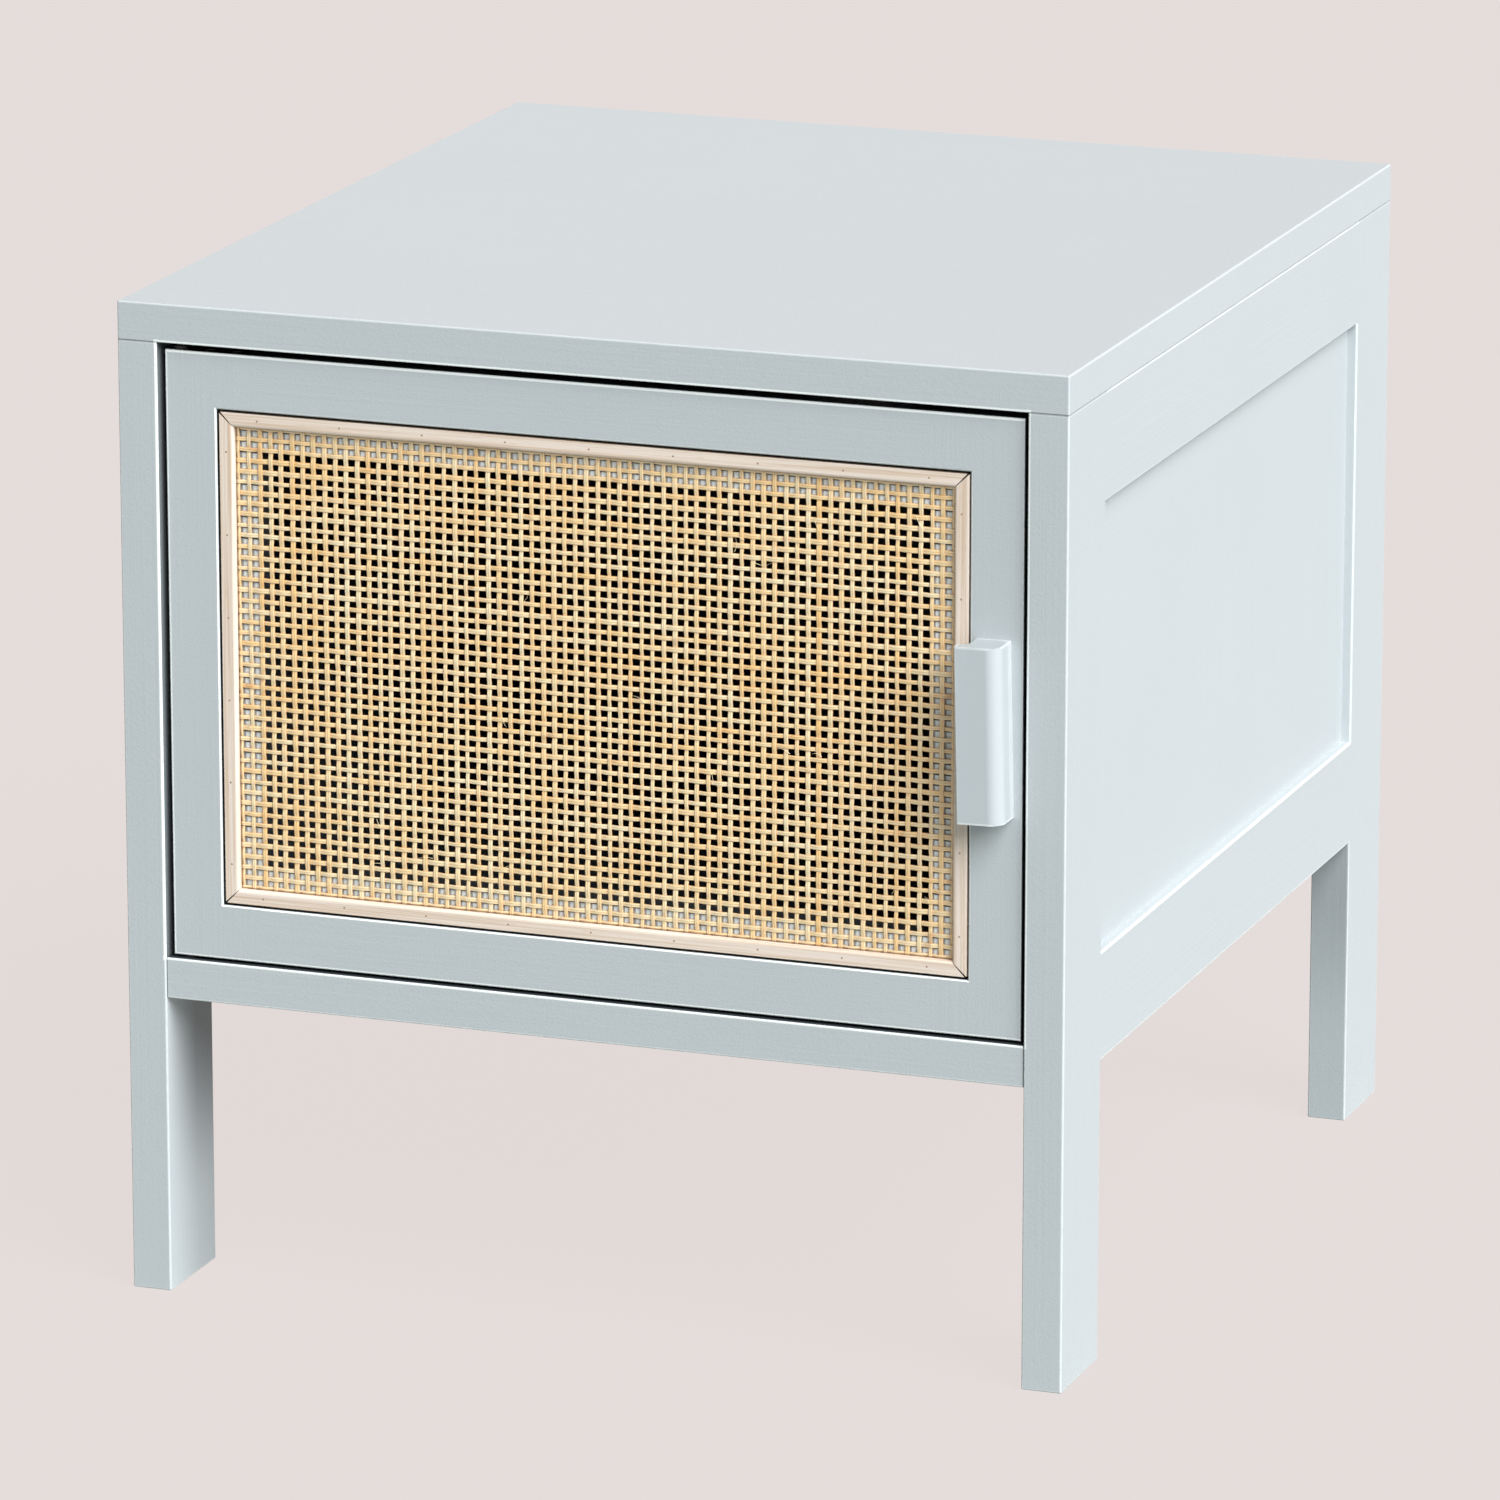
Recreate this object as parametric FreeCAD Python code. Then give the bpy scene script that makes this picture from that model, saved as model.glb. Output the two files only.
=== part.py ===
import FreeCAD, Part

# Storage side table with one caned door: a cabinet on four legs, painted, with a woven cane door.
#
# Each piece is drawn in bench coordinates: x from the left outer face, y from the front plane of
# the legs towards the back, z up from the floor, all in millimetres. export() then moves it to the
# row frame, whose origin is on the floor at the centre of the overall box, pull included.
# The front faces -Y and the door's hinges are on the left.

import math
import os

V = FreeCAD.Vector
X, Y, Z = V(1, 0, 0), V(0, 1, 0), V(0, 0, 1)

# ---- Overall ----
WIDTH = 455.0
DEPTH = 498.0  # legs, front to back
HEIGHT = 470.0
FLOOR_CLEAR = 142.0  # floor to the underside of the cabinet

# ---- Boards and side frames ----
BOARD_T = 18.0  # top board
FLOOR_T = 19.5  # bottom board
STILE_T = 19.0  # side frames: stiles, which are also the legs, and rails
STILE_W = 53.0  # a stile, front to back
TOP_RAIL_H = 50.5
LOW_RAIL_H = 51.0
PANEL_T = 6.0
PANEL_RECESS = 5.0  # panel's outer face behind the frame's outer face
GROOVE_D = 8.0  # how far the panel goes into the frame
PANEL_PLAY = 0.5  # left around the panel's edges for the wood to move
BACK_T = 5.0
BACK_LAP = 8.0  # back panel's lap on the stiles
BACK_LAP_TOP = 10.0  # back panel's lap on the top board
BACK_PLAY = 0.3
FLOOR_SETBACK = 0.7  # bottom board's front edge behind the legs
ARRIS_R = 0.8  # rounding of the painted outer edges
SEAM_R = 0.5  # rounding under the top board, which makes its seam
RIM_C = 0.8  # chamfer around the recesses

# ---- Door ----
DOOR_T = 18.0
DOOR_RECESS = 2.5  # door's face behind the legs' front plane
GAP_HINGE = 3.2
GAP_LATCH = 2.4
GAP_TOP = 3.5
GAP_FLOOR = 1.4
FACE_W = 25.0  # visible face of the door's stiles
FACE_RAIL_W = 26.0  # visible face of the door's rails
LIP_W = 19.0  # rebated lip inside the stiles' face, which carries the cane
CANE_T = 1.5
CANE_DEPTH = 3.5  # cane's front behind the door's face
BEAD_W = 7.0
BEAD_T = 3.0
BEAD_PLAY = 0.8
BEAD_R_IN = 1.6
BEAD_R_OUT = 0.5
MITRE_OPEN = 0.6  # each bead's mitre falls short by this at the outer corner
MITRE_SHUT = 0.1  # and by this at the inner corner
BEAD_PIN_R = 0.45
BEAD_PIN_L = 11.0
BEAD_PIN_SPACING = 38.5
BEAD_PIN_END = 15.0

# ---- Pull ----
PULL_H = 81.0
PULL_BASE_W = 16.0
PULL_LIP = 5.0  # lip's overhang beyond the base, over the finger gap
PULL_OUT = 17.5  # from the door's face
PULL_LIP_T = 5.5
PULL_RISE = 1.0  # pull's middle above the door's middle
PULL_EDGE = 4.8  # base to the door's latch edge
PULL_CORNER_R = 6.5
PULL_GAP_R = 3.5
PULL_EDGE_R = 0.8
PULL_LEAN = 1.3  # degrees off upright, top towards the hinges
PULL_SCREW_SPACING = 56.0
PULL_SCREW_IN = 10.0  # thread in the pull's base
PULL_SCREW_R = 2.0
PULL_SCREW_HEAD_R = 4.0
PULL_SCREW_HEAD_H = 2.4

# ---- Knife hinges at the door's top and bottom edges ----
PIVOT_SIDE = 6.0  # axis from the door's hinge edge
PIVOT_FACE = 6.0  # axis from the door's face
PIN_R = 2.0
PIN_CLEARANCE = 0.05
LEAF_T = 2.5
LEAF_W = 8.0
LEAF_L = 38.0
WASHER_R = 3.8
WASHER_T = 1.4
WASHER_CLEARANCE = 0.1
LEAF_SCREWS = (14.0, 27.0)  # from the axis
LEAF_SCREW_L = 14.0
LEAF_SCREW_R = 1.4
LEAF_SCREW_HEAD_R = 2.6

# ---- Magnetic catch under the top board ----
CATCH_L = 50.0
CATCH_H = 13.0
CATCH_D = 15.0
CATCH_WALL = 2.0
CATCH_FROM_SIDE = 85.0  # catch's centre to the latch side's inner face
CATCH_SCREW_SPACING = 40.0
CATCH_SCREW_L = 25.0
CATCH_SCREW_R = 1.6
CATCH_SCREW_HEAD_R = 3.0
POLE_L = 28.0
POLE_T = 1.5
POLE_OUT = 0.5  # poles stand proud of the case
STRIKE_L = 30.0
STRIKE_H = 9.0
STRIKE_T = 1.2
STRIKE_DROP = 0.5  # below the door's top edge
STRIKE_SCREW_SPACING = 15.0
STRIKE_SCREW_L = 12.0
STRIKE_SCREW_R = 1.4
STRIKE_SCREW_HEAD_R = 2.4
CATCH_GAP = 0.2  # between the strike and the poles

# ---- Fasteners ----
DOWEL_R = 4.0
FRAME_DOWEL_L = 40.0
FRAME_DOWEL_EDGE = 12.0  # first dowel from a side rail's outer edge
FRAME_DOWEL_PITCH = 20.0
DOOR_DOWEL_R = 3.0
DOOR_DOWEL_L = 40.0
DOOR_DOWEL_EDGE = 9.0  # first dowel from the door's edge, clear of the bead pins
DOOR_DOWEL_PITCH = 12.0
BOARD_DOWEL_L = 32.0
BOARD_DOWEL_IN_TOP = 12.0
BOARD_DOWEL_IN_SIDE = 10.0
CAM_R = 7.5
CAM_DEPTH = 13.5
CAM_SETBACK = 24.0  # cam's centre from the joint
CAM_FROM_STILE = 60.0
CAM_BORE_R = 4.0
CAM_SLOT_W = 2.0
CAM_SLOT_D = 2.5
BOLT_SHANK_R = 2.5
BOLT_HEAD_R = 3.5
BOLT_HEAD_L = 3.0
BOLT_GRIP = 11.0  # thread in the board
BACK_SCREW_END = 60.0
BACK_SCREW_L = 20.0
BACK_SCREW_R = 1.75
BACK_SCREW_HEAD_R = 3.4
CSK_ANGLE = 45.0  # half-angle of countersunk heads, degrees
CROSS_L = 1.1  # cross recess in a screw's head, as shares of the head's radius
CROSS_W = 0.25
CROSS_D = 0.45

# ---- Places worked out from the sizes above ----
TOP_Z = HEIGHT - BOARD_T  # underside of the top board
FLOOR_Z = FLOOR_CLEAR + FLOOR_T  # upper face of the bottom board
RIGHT_X = WIDTH - STILE_T  # inner face of the right side frame
BACK_Y = DEPTH - BACK_T  # front face of the back panel
DOOR_X0, DOOR_X1 = STILE_T + GAP_HINGE, RIGHT_X - GAP_LATCH
DOOR_Z0, DOOR_Z1 = FLOOR_Z + GAP_FLOOR, TOP_Z - GAP_TOP
DOOR_Y0, DOOR_Y1 = DOOR_RECESS, DOOR_RECESS + DOOR_T
MEMBER_W = FACE_W + LIP_W
LIP_Y = DOOR_Y0 + CANE_DEPTH + CANE_T
PIVOT_X, PIVOT_Y = DOOR_X0 + PIVOT_SIDE, DOOR_Y0 + PIVOT_FACE
PULL_X1 = DOOR_X1 - PULL_EDGE
PULL_Z = (DOOR_Z0 + DOOR_Z1) / 2 + PULL_RISE
CATCH_X = RIGHT_X - CATCH_FROM_SIDE
POLE_Y = DOOR_Y1 + STRIKE_T + CATCH_GAP
PULL_PROUD = PULL_OUT - DOOR_RECESS  # pull in front of the legs
ORIGIN = V(WIDTH / 2, (DEPTH - PULL_PROUD) / 2, 0)
ROOM = 1.0  # how far a cutting tool runs past the face it opens


# ---- Shapes ----
def box(x0, x1, y0, y1, z0, z1):
    return Part.makeBox(x1 - x0, y1 - y0, z1 - z0, V(x0, y0, z0))


def rod(start, direction, radius, length):
    return Part.makeCylinder(radius, length, start, direction)


def edges_at(shape, **place):
    """Straight edges of a shape that lie at all the given coordinates, such as x=0, z=18."""
    found = []
    for edge in shape.Edges:
        ends = [v.Point for v in edge.Vertexes]
        if all(abs(getattr(p, axis) - value) < 1e-6 for p in ends for axis, value in place.items()):
            found.append(edge)
    return found


def rounded(shape, radius, *places):
    """The shape with the edges at each place rounded."""
    edges = [edge for place in places for edge in edges_at(shape, **place)]
    return shape.makeFillet(radius, edges)


def flare(u0, u1, v0, v1, size, depth):
    """A chamfering tool: the rectangle u0..u1, v0..v1 at depth, wider by size + ROOM at -ROOM.
    It is drawn in X and Z, and its depth runs along +Y."""
    grow = size * (depth + ROOM) / depth
    wide = [V(u0 - grow, -ROOM, v0 - grow), V(u1 + grow, -ROOM, v0 - grow),
            V(u1 + grow, -ROOM, v1 + grow), V(u0 - grow, -ROOM, v1 + grow)]
    narrow = [V(u0, depth, v0), V(u1, depth, v0), V(u1, depth, v1), V(u0, depth, v1)]
    outlines = [Part.makePolygon(points + points[:1]) for points in (wide, narrow)]
    return Part.makeLoft(outlines, True, True)


def screw(head, direction, length, shank_r, head_r):
    """A countersunk screw's envelope: its head's flat is at head, and it points along direction."""
    head_h = (head_r - shank_r) / math.tan(math.radians(CSK_ANGLE))
    cone = Part.makeCone(head_r, shank_r, head_h, head, direction)
    return cone.fuse(rod(head, direction, shank_r, length)).removeSplitter()


def recessed(solid, head, direction, head_r):
    """The screw with a cross recess in its head."""
    long_side, short_side, depth = head_r * CROSS_L, head_r * CROSS_W, head_r * CROSS_D
    arm = Part.makeBox(long_side, short_side, 2 * depth, V(-long_side / 2, -short_side / 2, -depth))
    cross = arm.fuse(arm.rotated(V(0, 0, 0), Z, 90))
    turn = FreeCAD.Rotation(Z, direction)
    cross.Placement = FreeCAD.Placement(head, turn)
    return solid.cut(cross)


def screws(heads, direction, length, shank_r, head_r):
    """Envelopes that bore the boards, and the screws themselves."""
    envelopes = [screw(head, direction, length, shank_r, head_r) for head in heads]
    made = [recessed(e, head, direction, head_r) for e, head in zip(envelopes, heads)]
    return envelopes, made


def bored(shape, *groups):
    """The shape with the room that each fastener fills taken out."""
    for solid in [s for group in groups for s in group]:
        if shape.BoundBox.intersect(solid.BoundBox):
            shape = shape.cut(solid)
    return shape


def other_side(shapes):
    """The same solids on the other side frame."""
    return [s.mirror(V(WIDTH / 2, 0, 0), X) for s in shapes]


def both_sides(shapes):
    return shapes + other_side(shapes)


# ---- Fasteners of the cabinet, left side first ----
def frame_dowels():
    """Two dowels in each joint of rail and stile."""
    rows = [TOP_Z - FRAME_DOWEL_EDGE, TOP_Z - FRAME_DOWEL_EDGE - FRAME_DOWEL_PITCH,
            FLOOR_CLEAR + FRAME_DOWEL_EDGE, FLOOR_CLEAR + FRAME_DOWEL_EDGE + FRAME_DOWEL_PITCH]
    joints = [STILE_W, DEPTH - STILE_W]
    left = [rod(V(STILE_T / 2, joint - FRAME_DOWEL_L / 2, z), Y, DOWEL_R, FRAME_DOWEL_L)
            for joint in joints for z in rows]
    return both_sides(left)


def top_dowels():
    """Upright dowels from the stiles' ends into the top board."""
    start = TOP_Z + BOARD_DOWEL_IN_TOP - BOARD_DOWEL_L
    return both_sides([rod(V(STILE_T / 2, y, start), Z, DOWEL_R, BOARD_DOWEL_L)
                       for y in (STILE_W / 2, DEPTH - STILE_W / 2)])


def floor_dowels():
    """Level dowels from the stiles into the bottom board's ends."""
    return both_sides([rod(V(STILE_T - BOARD_DOWEL_IN_SIDE, y, FLOOR_CLEAR + FLOOR_T / 2), X, DOWEL_R,
                           BOARD_DOWEL_L) for y in (STILE_W / 2, DEPTH - STILE_W / 2)])


def cam_bolt(joint, direction):
    """A cam bolt whose thread starts at joint and goes back along -direction into the board."""
    shank = rod(joint - direction * BOLT_GRIP, direction, BOLT_SHANK_R, BOLT_GRIP + CAM_SETBACK)
    head = rod(joint + direction * (CAM_SETBACK - BOLT_HEAD_L / 2), direction, BOLT_HEAD_R, BOLT_HEAD_L)
    return shank.fuse(head).removeSplitter()


def cam_lock(mouth, axis, to_joint):
    """A cam in its blind hole: mouth is the centre of its open face, and axis goes into the board."""
    body = rod(mouth, axis, CAM_R, CAM_DEPTH)
    centre = mouth + axis * (BOARD_T / 2)
    bore = rod(centre - to_joint * CAM_BORE_R, to_joint, CAM_BORE_R, CAM_R + 2 * CAM_BORE_R)
    slot = Part.makeBox(2 * CAM_R, CAM_SLOT_W, 2 * CAM_SLOT_D, V(-CAM_R, -CAM_SLOT_W / 2, -CAM_SLOT_D))
    slot.Placement = FreeCAD.Placement(mouth, FreeCAD.Rotation(Z, axis))
    return body.cut(bore).cut(slot)


def cam_rows():
    return (STILE_W + CAM_FROM_STILE, DEPTH - STILE_W - CAM_FROM_STILE)


def top_cams():
    """Bolts hang from the top board into the side rails' top edges; cams are in their inner faces.
    The bolts run at half a board's thickness from the inner face."""
    axis_x = STILE_T - BOARD_T / 2
    bolts = [cam_bolt(V(axis_x, y, TOP_Z), -Z) for y in cam_rows()]
    locks = [cam_lock(V(STILE_T, y, TOP_Z - CAM_SETBACK), -X, Z) for y in cam_rows()]
    bores = [rod(V(axis_x, y, TOP_Z), -Z, CAM_BORE_R, CAM_SETBACK) for y in cam_rows()]
    holes = [rod(V(STILE_T, y, TOP_Z - CAM_SETBACK), -X, CAM_R, CAM_DEPTH) for y in cam_rows()]
    return both_sides(bolts), both_sides(locks), both_sides(bores), both_sides(holes)


def floor_cams():
    """Bolts stand out of the side rails into the bottom board's ends; cams are in its underside.
    The fittings are the same as under the top, so the bolts run as far from the cams' open faces."""
    axis_z = FLOOR_CLEAR + BOARD_T / 2
    bolts = [cam_bolt(V(STILE_T, y, axis_z), X) for y in cam_rows()]
    locks = [cam_lock(V(STILE_T + CAM_SETBACK, y, FLOOR_CLEAR), Z, -X) for y in cam_rows()]
    bores = [rod(V(STILE_T, y, axis_z), X, CAM_BORE_R, CAM_SETBACK) for y in cam_rows()]
    holes = [rod(V(STILE_T + CAM_SETBACK, y, FLOOR_CLEAR), Z, CAM_R, CAM_DEPTH) for y in cam_rows()]
    return both_sides(bolts), both_sides(locks), both_sides(bores), both_sides(holes)


def back_screws():
    """Screws through the back panel into the stiles, the bottom board and the top board."""
    side_x = STILE_T - BACK_LAP / 2
    low_z, high_z = FLOOR_CLEAR + FLOOR_T / 2, TOP_Z + BACK_LAP_TOP / 2
    heads = [V(x, DEPTH, z) for x in (side_x, WIDTH - side_x)
             for z in (FLOOR_Z + BACK_SCREW_END, TOP_Z - BACK_SCREW_END)]
    heads += [V(x, DEPTH, z) for z in (low_z, high_z)
              for x in (STILE_T + BACK_SCREW_END, WIDTH / 2, RIGHT_X - BACK_SCREW_END)]
    return screws(heads, -Y, BACK_SCREW_L, BACK_SCREW_R, BACK_SCREW_HEAD_R)


# ---- Cabinet boards ----
def panel_window():
    """The opening of a left side frame: the recess outside, its chamfered rim, and the inner side."""
    y0, y1 = STILE_W, DEPTH - STILE_W
    z0, z1 = FLOOR_CLEAR + LOW_RAIL_H, TOP_Z - TOP_RAIL_H
    rim = flare(-y1, -y0, z0, z1, RIM_C, RIM_C)
    rim.rotate(V(0, 0, 0), Z, -90)
    return y0, y1, z0, z1, rim


def panel_groove():
    """The groove around the opening, as one block that covers panel and play."""
    y0, y1, z0, z1, _ = panel_window()
    return box(PANEL_RECESS, PANEL_RECESS + PANEL_T, y0 - GROOVE_D, y1 + GROOVE_D,
               z0 - GROOVE_D, z1 + GROOVE_D)


def side_stile(front):
    """A left stile, which runs on down as the leg. The front one has its front edges rounded."""
    y0, y1 = (0, STILE_W) if front else (DEPTH - STILE_W, DEPTH)
    outer_y, inner_y = (y0, y1) if front else (y1, y0)
    corners = [{"x": x, "y": y} for x in (0, STILE_T) for y in (outer_y, inner_y)]
    leg = rounded(box(0, STILE_T, y0, y1, 0, FLOOR_CLEAR), ARRIS_R, *corners, {"z": 0})
    outer = [{"x": x, "y": outer_y} for x in ((0, STILE_T) if front else (0,))]
    upper = rounded(box(0, STILE_T, y0, y1, FLOOR_CLEAR, TOP_Z), ARRIS_R, *outer)
    if not front:
        upper = upper.cut(back_room())
    stile = leg.fuse(upper).removeSplitter()
    return stile.cut(panel_groove()).cut(panel_window()[-1])


def side_rail(top):
    """A left rail between the two stiles, grooved for the panel."""
    z0, z1 = (TOP_Z - TOP_RAIL_H, TOP_Z) if top else (FLOOR_CLEAR, FLOOR_CLEAR + LOW_RAIL_H)
    rail = box(0, STILE_T, STILE_W, DEPTH - STILE_W, z0, z1)
    if not top:
        rail = rounded(rail, ARRIS_R, {"x": 0, "z": z0}, {"x": STILE_T, "z": z0})
    return rail.cut(panel_groove()).cut(panel_window()[-1])


def side_panel():
    """The flat panel stands on the low rail's groove, with play at its other edges."""
    y0, y1, z0, z1, _ = panel_window()
    reach = GROOVE_D - PANEL_PLAY
    return box(PANEL_RECESS, PANEL_RECESS + PANEL_T, y0 - reach, y1 + reach, z0 - GROOVE_D, z1 + reach)


def back_room():
    """The rebate that the back panel fills, in the stiles and in the top board's underside."""
    return box(STILE_T - BACK_LAP, RIGHT_X + BACK_LAP, BACK_Y, DEPTH + ROOM,
               FLOOR_CLEAR, TOP_Z + BACK_LAP_TOP)


def back_panel():
    return box(STILE_T - BACK_LAP + BACK_PLAY, RIGHT_X + BACK_LAP - BACK_PLAY, BACK_Y, DEPTH,
               FLOOR_CLEAR, TOP_Z + BACK_LAP_TOP)


def top_board():
    board = box(0, WIDTH, 0, DEPTH, TOP_Z, HEIGHT)
    upright = [{"x": x, "y": y} for x in (0, WIDTH) for y in (0, DEPTH)]
    board = rounded(board, ARRIS_R, {"z": HEIGHT}, *upright)
    under = [edge for edge in board.Edges if abs(edge.BoundBox.ZMax - TOP_Z) < 1e-6]
    return board.makeFillet(SEAM_R, under).cut(back_room())


def bottom_board():
    board = box(STILE_T, RIGHT_X, FLOOR_SETBACK, BACK_Y, FLOOR_CLEAR, FLOOR_Z)
    front = [{"y": FLOOR_SETBACK, "z": z} for z in (FLOOR_CLEAR, FLOOR_Z)]
    return rounded(board, ARRIS_R, *front)


# ---- Hinges ----
def leaf(z0):
    """A hinge leaf without its pin or hole: a bar with a round end about the axis."""
    bar = box(PIVOT_X, PIVOT_X + LEAF_L - LEAF_W / 2, PIVOT_Y - LEAF_W / 2, PIVOT_Y + LEAF_W / 2,
              z0, z0 + LEAF_T)
    end = rod(V(PIVOT_X, PIVOT_Y, z0), Z, LEAF_W / 2, LEAF_T)
    return bar.fuse(end).removeSplitter()


def with_pin(shape, z0, z1):
    return shape.fuse(rod(V(PIVOT_X, PIVOT_Y, z0), Z, PIN_R, z1 - z0)).removeSplitter()


def with_hole(shape):
    through = rod(V(PIVOT_X, PIVOT_Y, 0), Z, PIN_R + PIN_CLEARANCE, HEIGHT)
    return shape.cut(through)


def washer(z0):
    ring = rod(V(PIVOT_X, PIVOT_Y, z0), Z, WASHER_R, WASHER_T)
    return ring.cut(rod(V(PIVOT_X, PIVOT_Y, z0), Z, PIN_R + WASHER_CLEARANCE, WASHER_T))


def leaf_screws(z, direction):
    heads = [V(PIVOT_X + step, PIVOT_Y, z) for step in LEAF_SCREWS]
    return screws(heads, direction, LEAF_SCREW_L, LEAF_SCREW_R, LEAF_SCREW_HEAD_R)


# ---- Door ----
def door_window():
    """The rebate's front opening, with its chamfered rim on the door's face."""
    x0, x1 = DOOR_X0 + FACE_W, DOOR_X1 - FACE_W
    z0, z1 = DOOR_Z0 + FACE_RAIL_W, DOOR_Z1 - FACE_RAIL_W
    rim = flare(x0, x1, z0, z1, RIM_C, RIM_C)
    rim.translate(V(0, DOOR_Y0, 0))
    return x0, x1, z0, z1, box(x0, x1, DOOR_Y0 - ROOM, LIP_Y, z0, z1), rim


def door_stile(hinge_side):
    """A full-height stile. Its rebate stops at the rails, so the window has square corners."""
    x0, x1 = (DOOR_X0, DOOR_X0 + MEMBER_W) if hinge_side else (DOOR_X1 - MEMBER_W, DOOR_X1)
    outer_x = x0 if hinge_side else x1
    stile = box(x0, x1, DOOR_Y0, DOOR_Y1, DOOR_Z0, DOOR_Z1)
    stile = rounded(stile, ARRIS_R, {"x": outer_x, "y": DOOR_Y0}, {"y": DOOR_Y0, "z": DOOR_Z0},
                    {"y": DOOR_Y0, "z": DOOR_Z1})
    *_, opening, rim = door_window()
    return stile.cut(opening).cut(rim)


def door_rail(top):
    z0, z1 = (DOOR_Z1 - MEMBER_W, DOOR_Z1) if top else (DOOR_Z0, DOOR_Z0 + MEMBER_W)
    rail = box(DOOR_X0 + MEMBER_W, DOOR_X1 - MEMBER_W, DOOR_Y0, DOOR_Y1, z0, z1)
    rail = rounded(rail, ARRIS_R, {"y": DOOR_Y0, "z": z1 if top else z0})
    *_, opening, rim = door_window()
    return rail.cut(opening).cut(rim)


def door_dowels():
    """Two dowels in each joint of rail and stile, at half the lip's thickness."""
    y = (LIP_Y + DOOR_Y1) / 2
    offsets = (DOOR_DOWEL_EDGE, DOOR_DOWEL_EDGE + DOOR_DOWEL_PITCH)
    heights = [z for offset in offsets for z in (DOOR_Z0 + offset, DOOR_Z1 - offset)]
    joints = (DOOR_X0 + MEMBER_W, DOOR_X1 - MEMBER_W)
    return [rod(V(joint - DOOR_DOWEL_L / 2, y, z), X, DOOR_DOWEL_R, DOOR_DOWEL_L)
            for joint in joints for z in heights]


def cane_panel():
    x0, x1, z0, z1, *_ = door_window()
    return box(x0 + BEAD_PLAY, x1 - BEAD_PLAY, LIP_Y - CANE_T, LIP_Y, z0 + BEAD_PLAY, z1 - BEAD_PLAY)


def bead_outlines():
    """Corners of the four strips at the cane: outer start, outer end, inner end, inner start.
    Each mitre is cut a little short, more so at the outer corner."""
    x0, x1, z0, z1, *_ = door_window()
    outer = [(x0 + BEAD_PLAY, z0 + BEAD_PLAY), (x1 - BEAD_PLAY, z0 + BEAD_PLAY),
             (x1 - BEAD_PLAY, z1 - BEAD_PLAY), (x0 + BEAD_PLAY, z1 - BEAD_PLAY)]
    inward = [(BEAD_W, BEAD_W), (-BEAD_W, BEAD_W), (-BEAD_W, -BEAD_W), (BEAD_W, -BEAD_W)]
    inner = [(x + dx, z + dz) for (x, z), (dx, dz) in zip(outer, inward)]
    cuts = (MITRE_OPEN, -MITRE_OPEN, -MITRE_SHUT, MITRE_SHUT)
    outlines = []
    for i in range(4):
        j = (i + 1) % 4
        corners = [V(x, LIP_Y - CANE_T, z) for x, z in (outer[i], outer[j], inner[j], inner[i])]
        along = (corners[1] - corners[0]).normalize()
        outlines.append([corner + along * cut for corner, cut in zip(corners, cuts)])
    return outlines


def beads():
    """Four mitred strips that hold the cane in its rebate, and the row of pins along each."""
    front = LIP_Y - CANE_T - BEAD_T
    names = ("bead_bottom", "bead_right", "bead_top", "bead_left")
    strips, pins = {}, []
    for name, across, corners in zip(names, ("z", "x", "z", "x"), bead_outlines()):
        strip = Part.Face(Part.makePolygon(corners + corners[:1])).extrude(V(0, -BEAD_T, 0))
        strip = rounded(strip, BEAD_R_IN, {"y": front, across: getattr(corners[3], across)})
        strips[name] = rounded(strip, BEAD_R_OUT, {"y": front, across: getattr(corners[0], across)})
        start, end = (corners[0] + corners[3]) / 2, (corners[1] + corners[2]) / 2
        run = (end - start).normalize()
        first, last = BEAD_PIN_END, (end - start).Length - BEAD_PIN_END
        count = round((last - first) / BEAD_PIN_SPACING) + 1
        for k in range(count):
            at = start + run * (first + (last - first) * k / (count - 1))
            pins.append(rod(V(at.x, front, at.z), Y, BEAD_PIN_R, BEAD_PIN_L))
    return strips, pins


# ---- Pull ----
def pull():
    """A bar of L section, as seen from above: a base on the stile and a lip that fingers go behind."""
    base_x0, lip_x0 = PULL_X1 - PULL_BASE_W, PULL_X1 - PULL_BASE_W - PULL_LIP
    front, lip_back = DOOR_Y0 - PULL_OUT, DOOR_Y0 - PULL_OUT + PULL_LIP_T
    z0 = PULL_Z - PULL_H / 2
    outline = [V(base_x0, DOOR_Y0, z0), V(PULL_X1, DOOR_Y0, z0), V(PULL_X1, front, z0),
               V(lip_x0, front, z0), V(lip_x0, lip_back, z0), V(base_x0, lip_back, z0)]
    bar = Part.Face(Part.makePolygon(outline + outline[:1])).extrude(V(0, 0, PULL_H))
    bar = rounded(bar, PULL_CORNER_R, {"x": PULL_X1, "y": front})
    bar = rounded(bar, PULL_GAP_R, {"x": base_x0, "y": lip_back})
    bar = rounded(bar, PULL_EDGE_R, {"x": lip_x0, "y": front}, {"x": lip_x0, "y": lip_back})
    return leaned([bar])[0]


def pull_screws():
    """Pan-head screws through the stile into the pull's base."""
    made = []
    for z in (PULL_Z - PULL_SCREW_SPACING / 2, PULL_Z + PULL_SCREW_SPACING / 2):
        seat = V(PULL_X1 - PULL_BASE_W / 2, DOOR_Y1, z)
        shank = rod(seat, -Y, PULL_SCREW_R, DOOR_T + PULL_SCREW_IN)
        head = rounded_head(seat, PULL_SCREW_HEAD_R, PULL_SCREW_HEAD_H)
        made.append(shank.fuse(head).removeSplitter())
    return leaned(made)


def rounded_head(seat, radius, height):
    """A pan head on its seat, with its rim rounded and its back towards the cabinet's inside."""
    head = rod(seat, Y, radius, height)
    rim = [e for e in head.Edges if len(e.Vertexes) == 1 and abs(e.BoundBox.YMin - seat.y - height) < 1e-6]
    return head.makeFillet(height / 2, rim)


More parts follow.
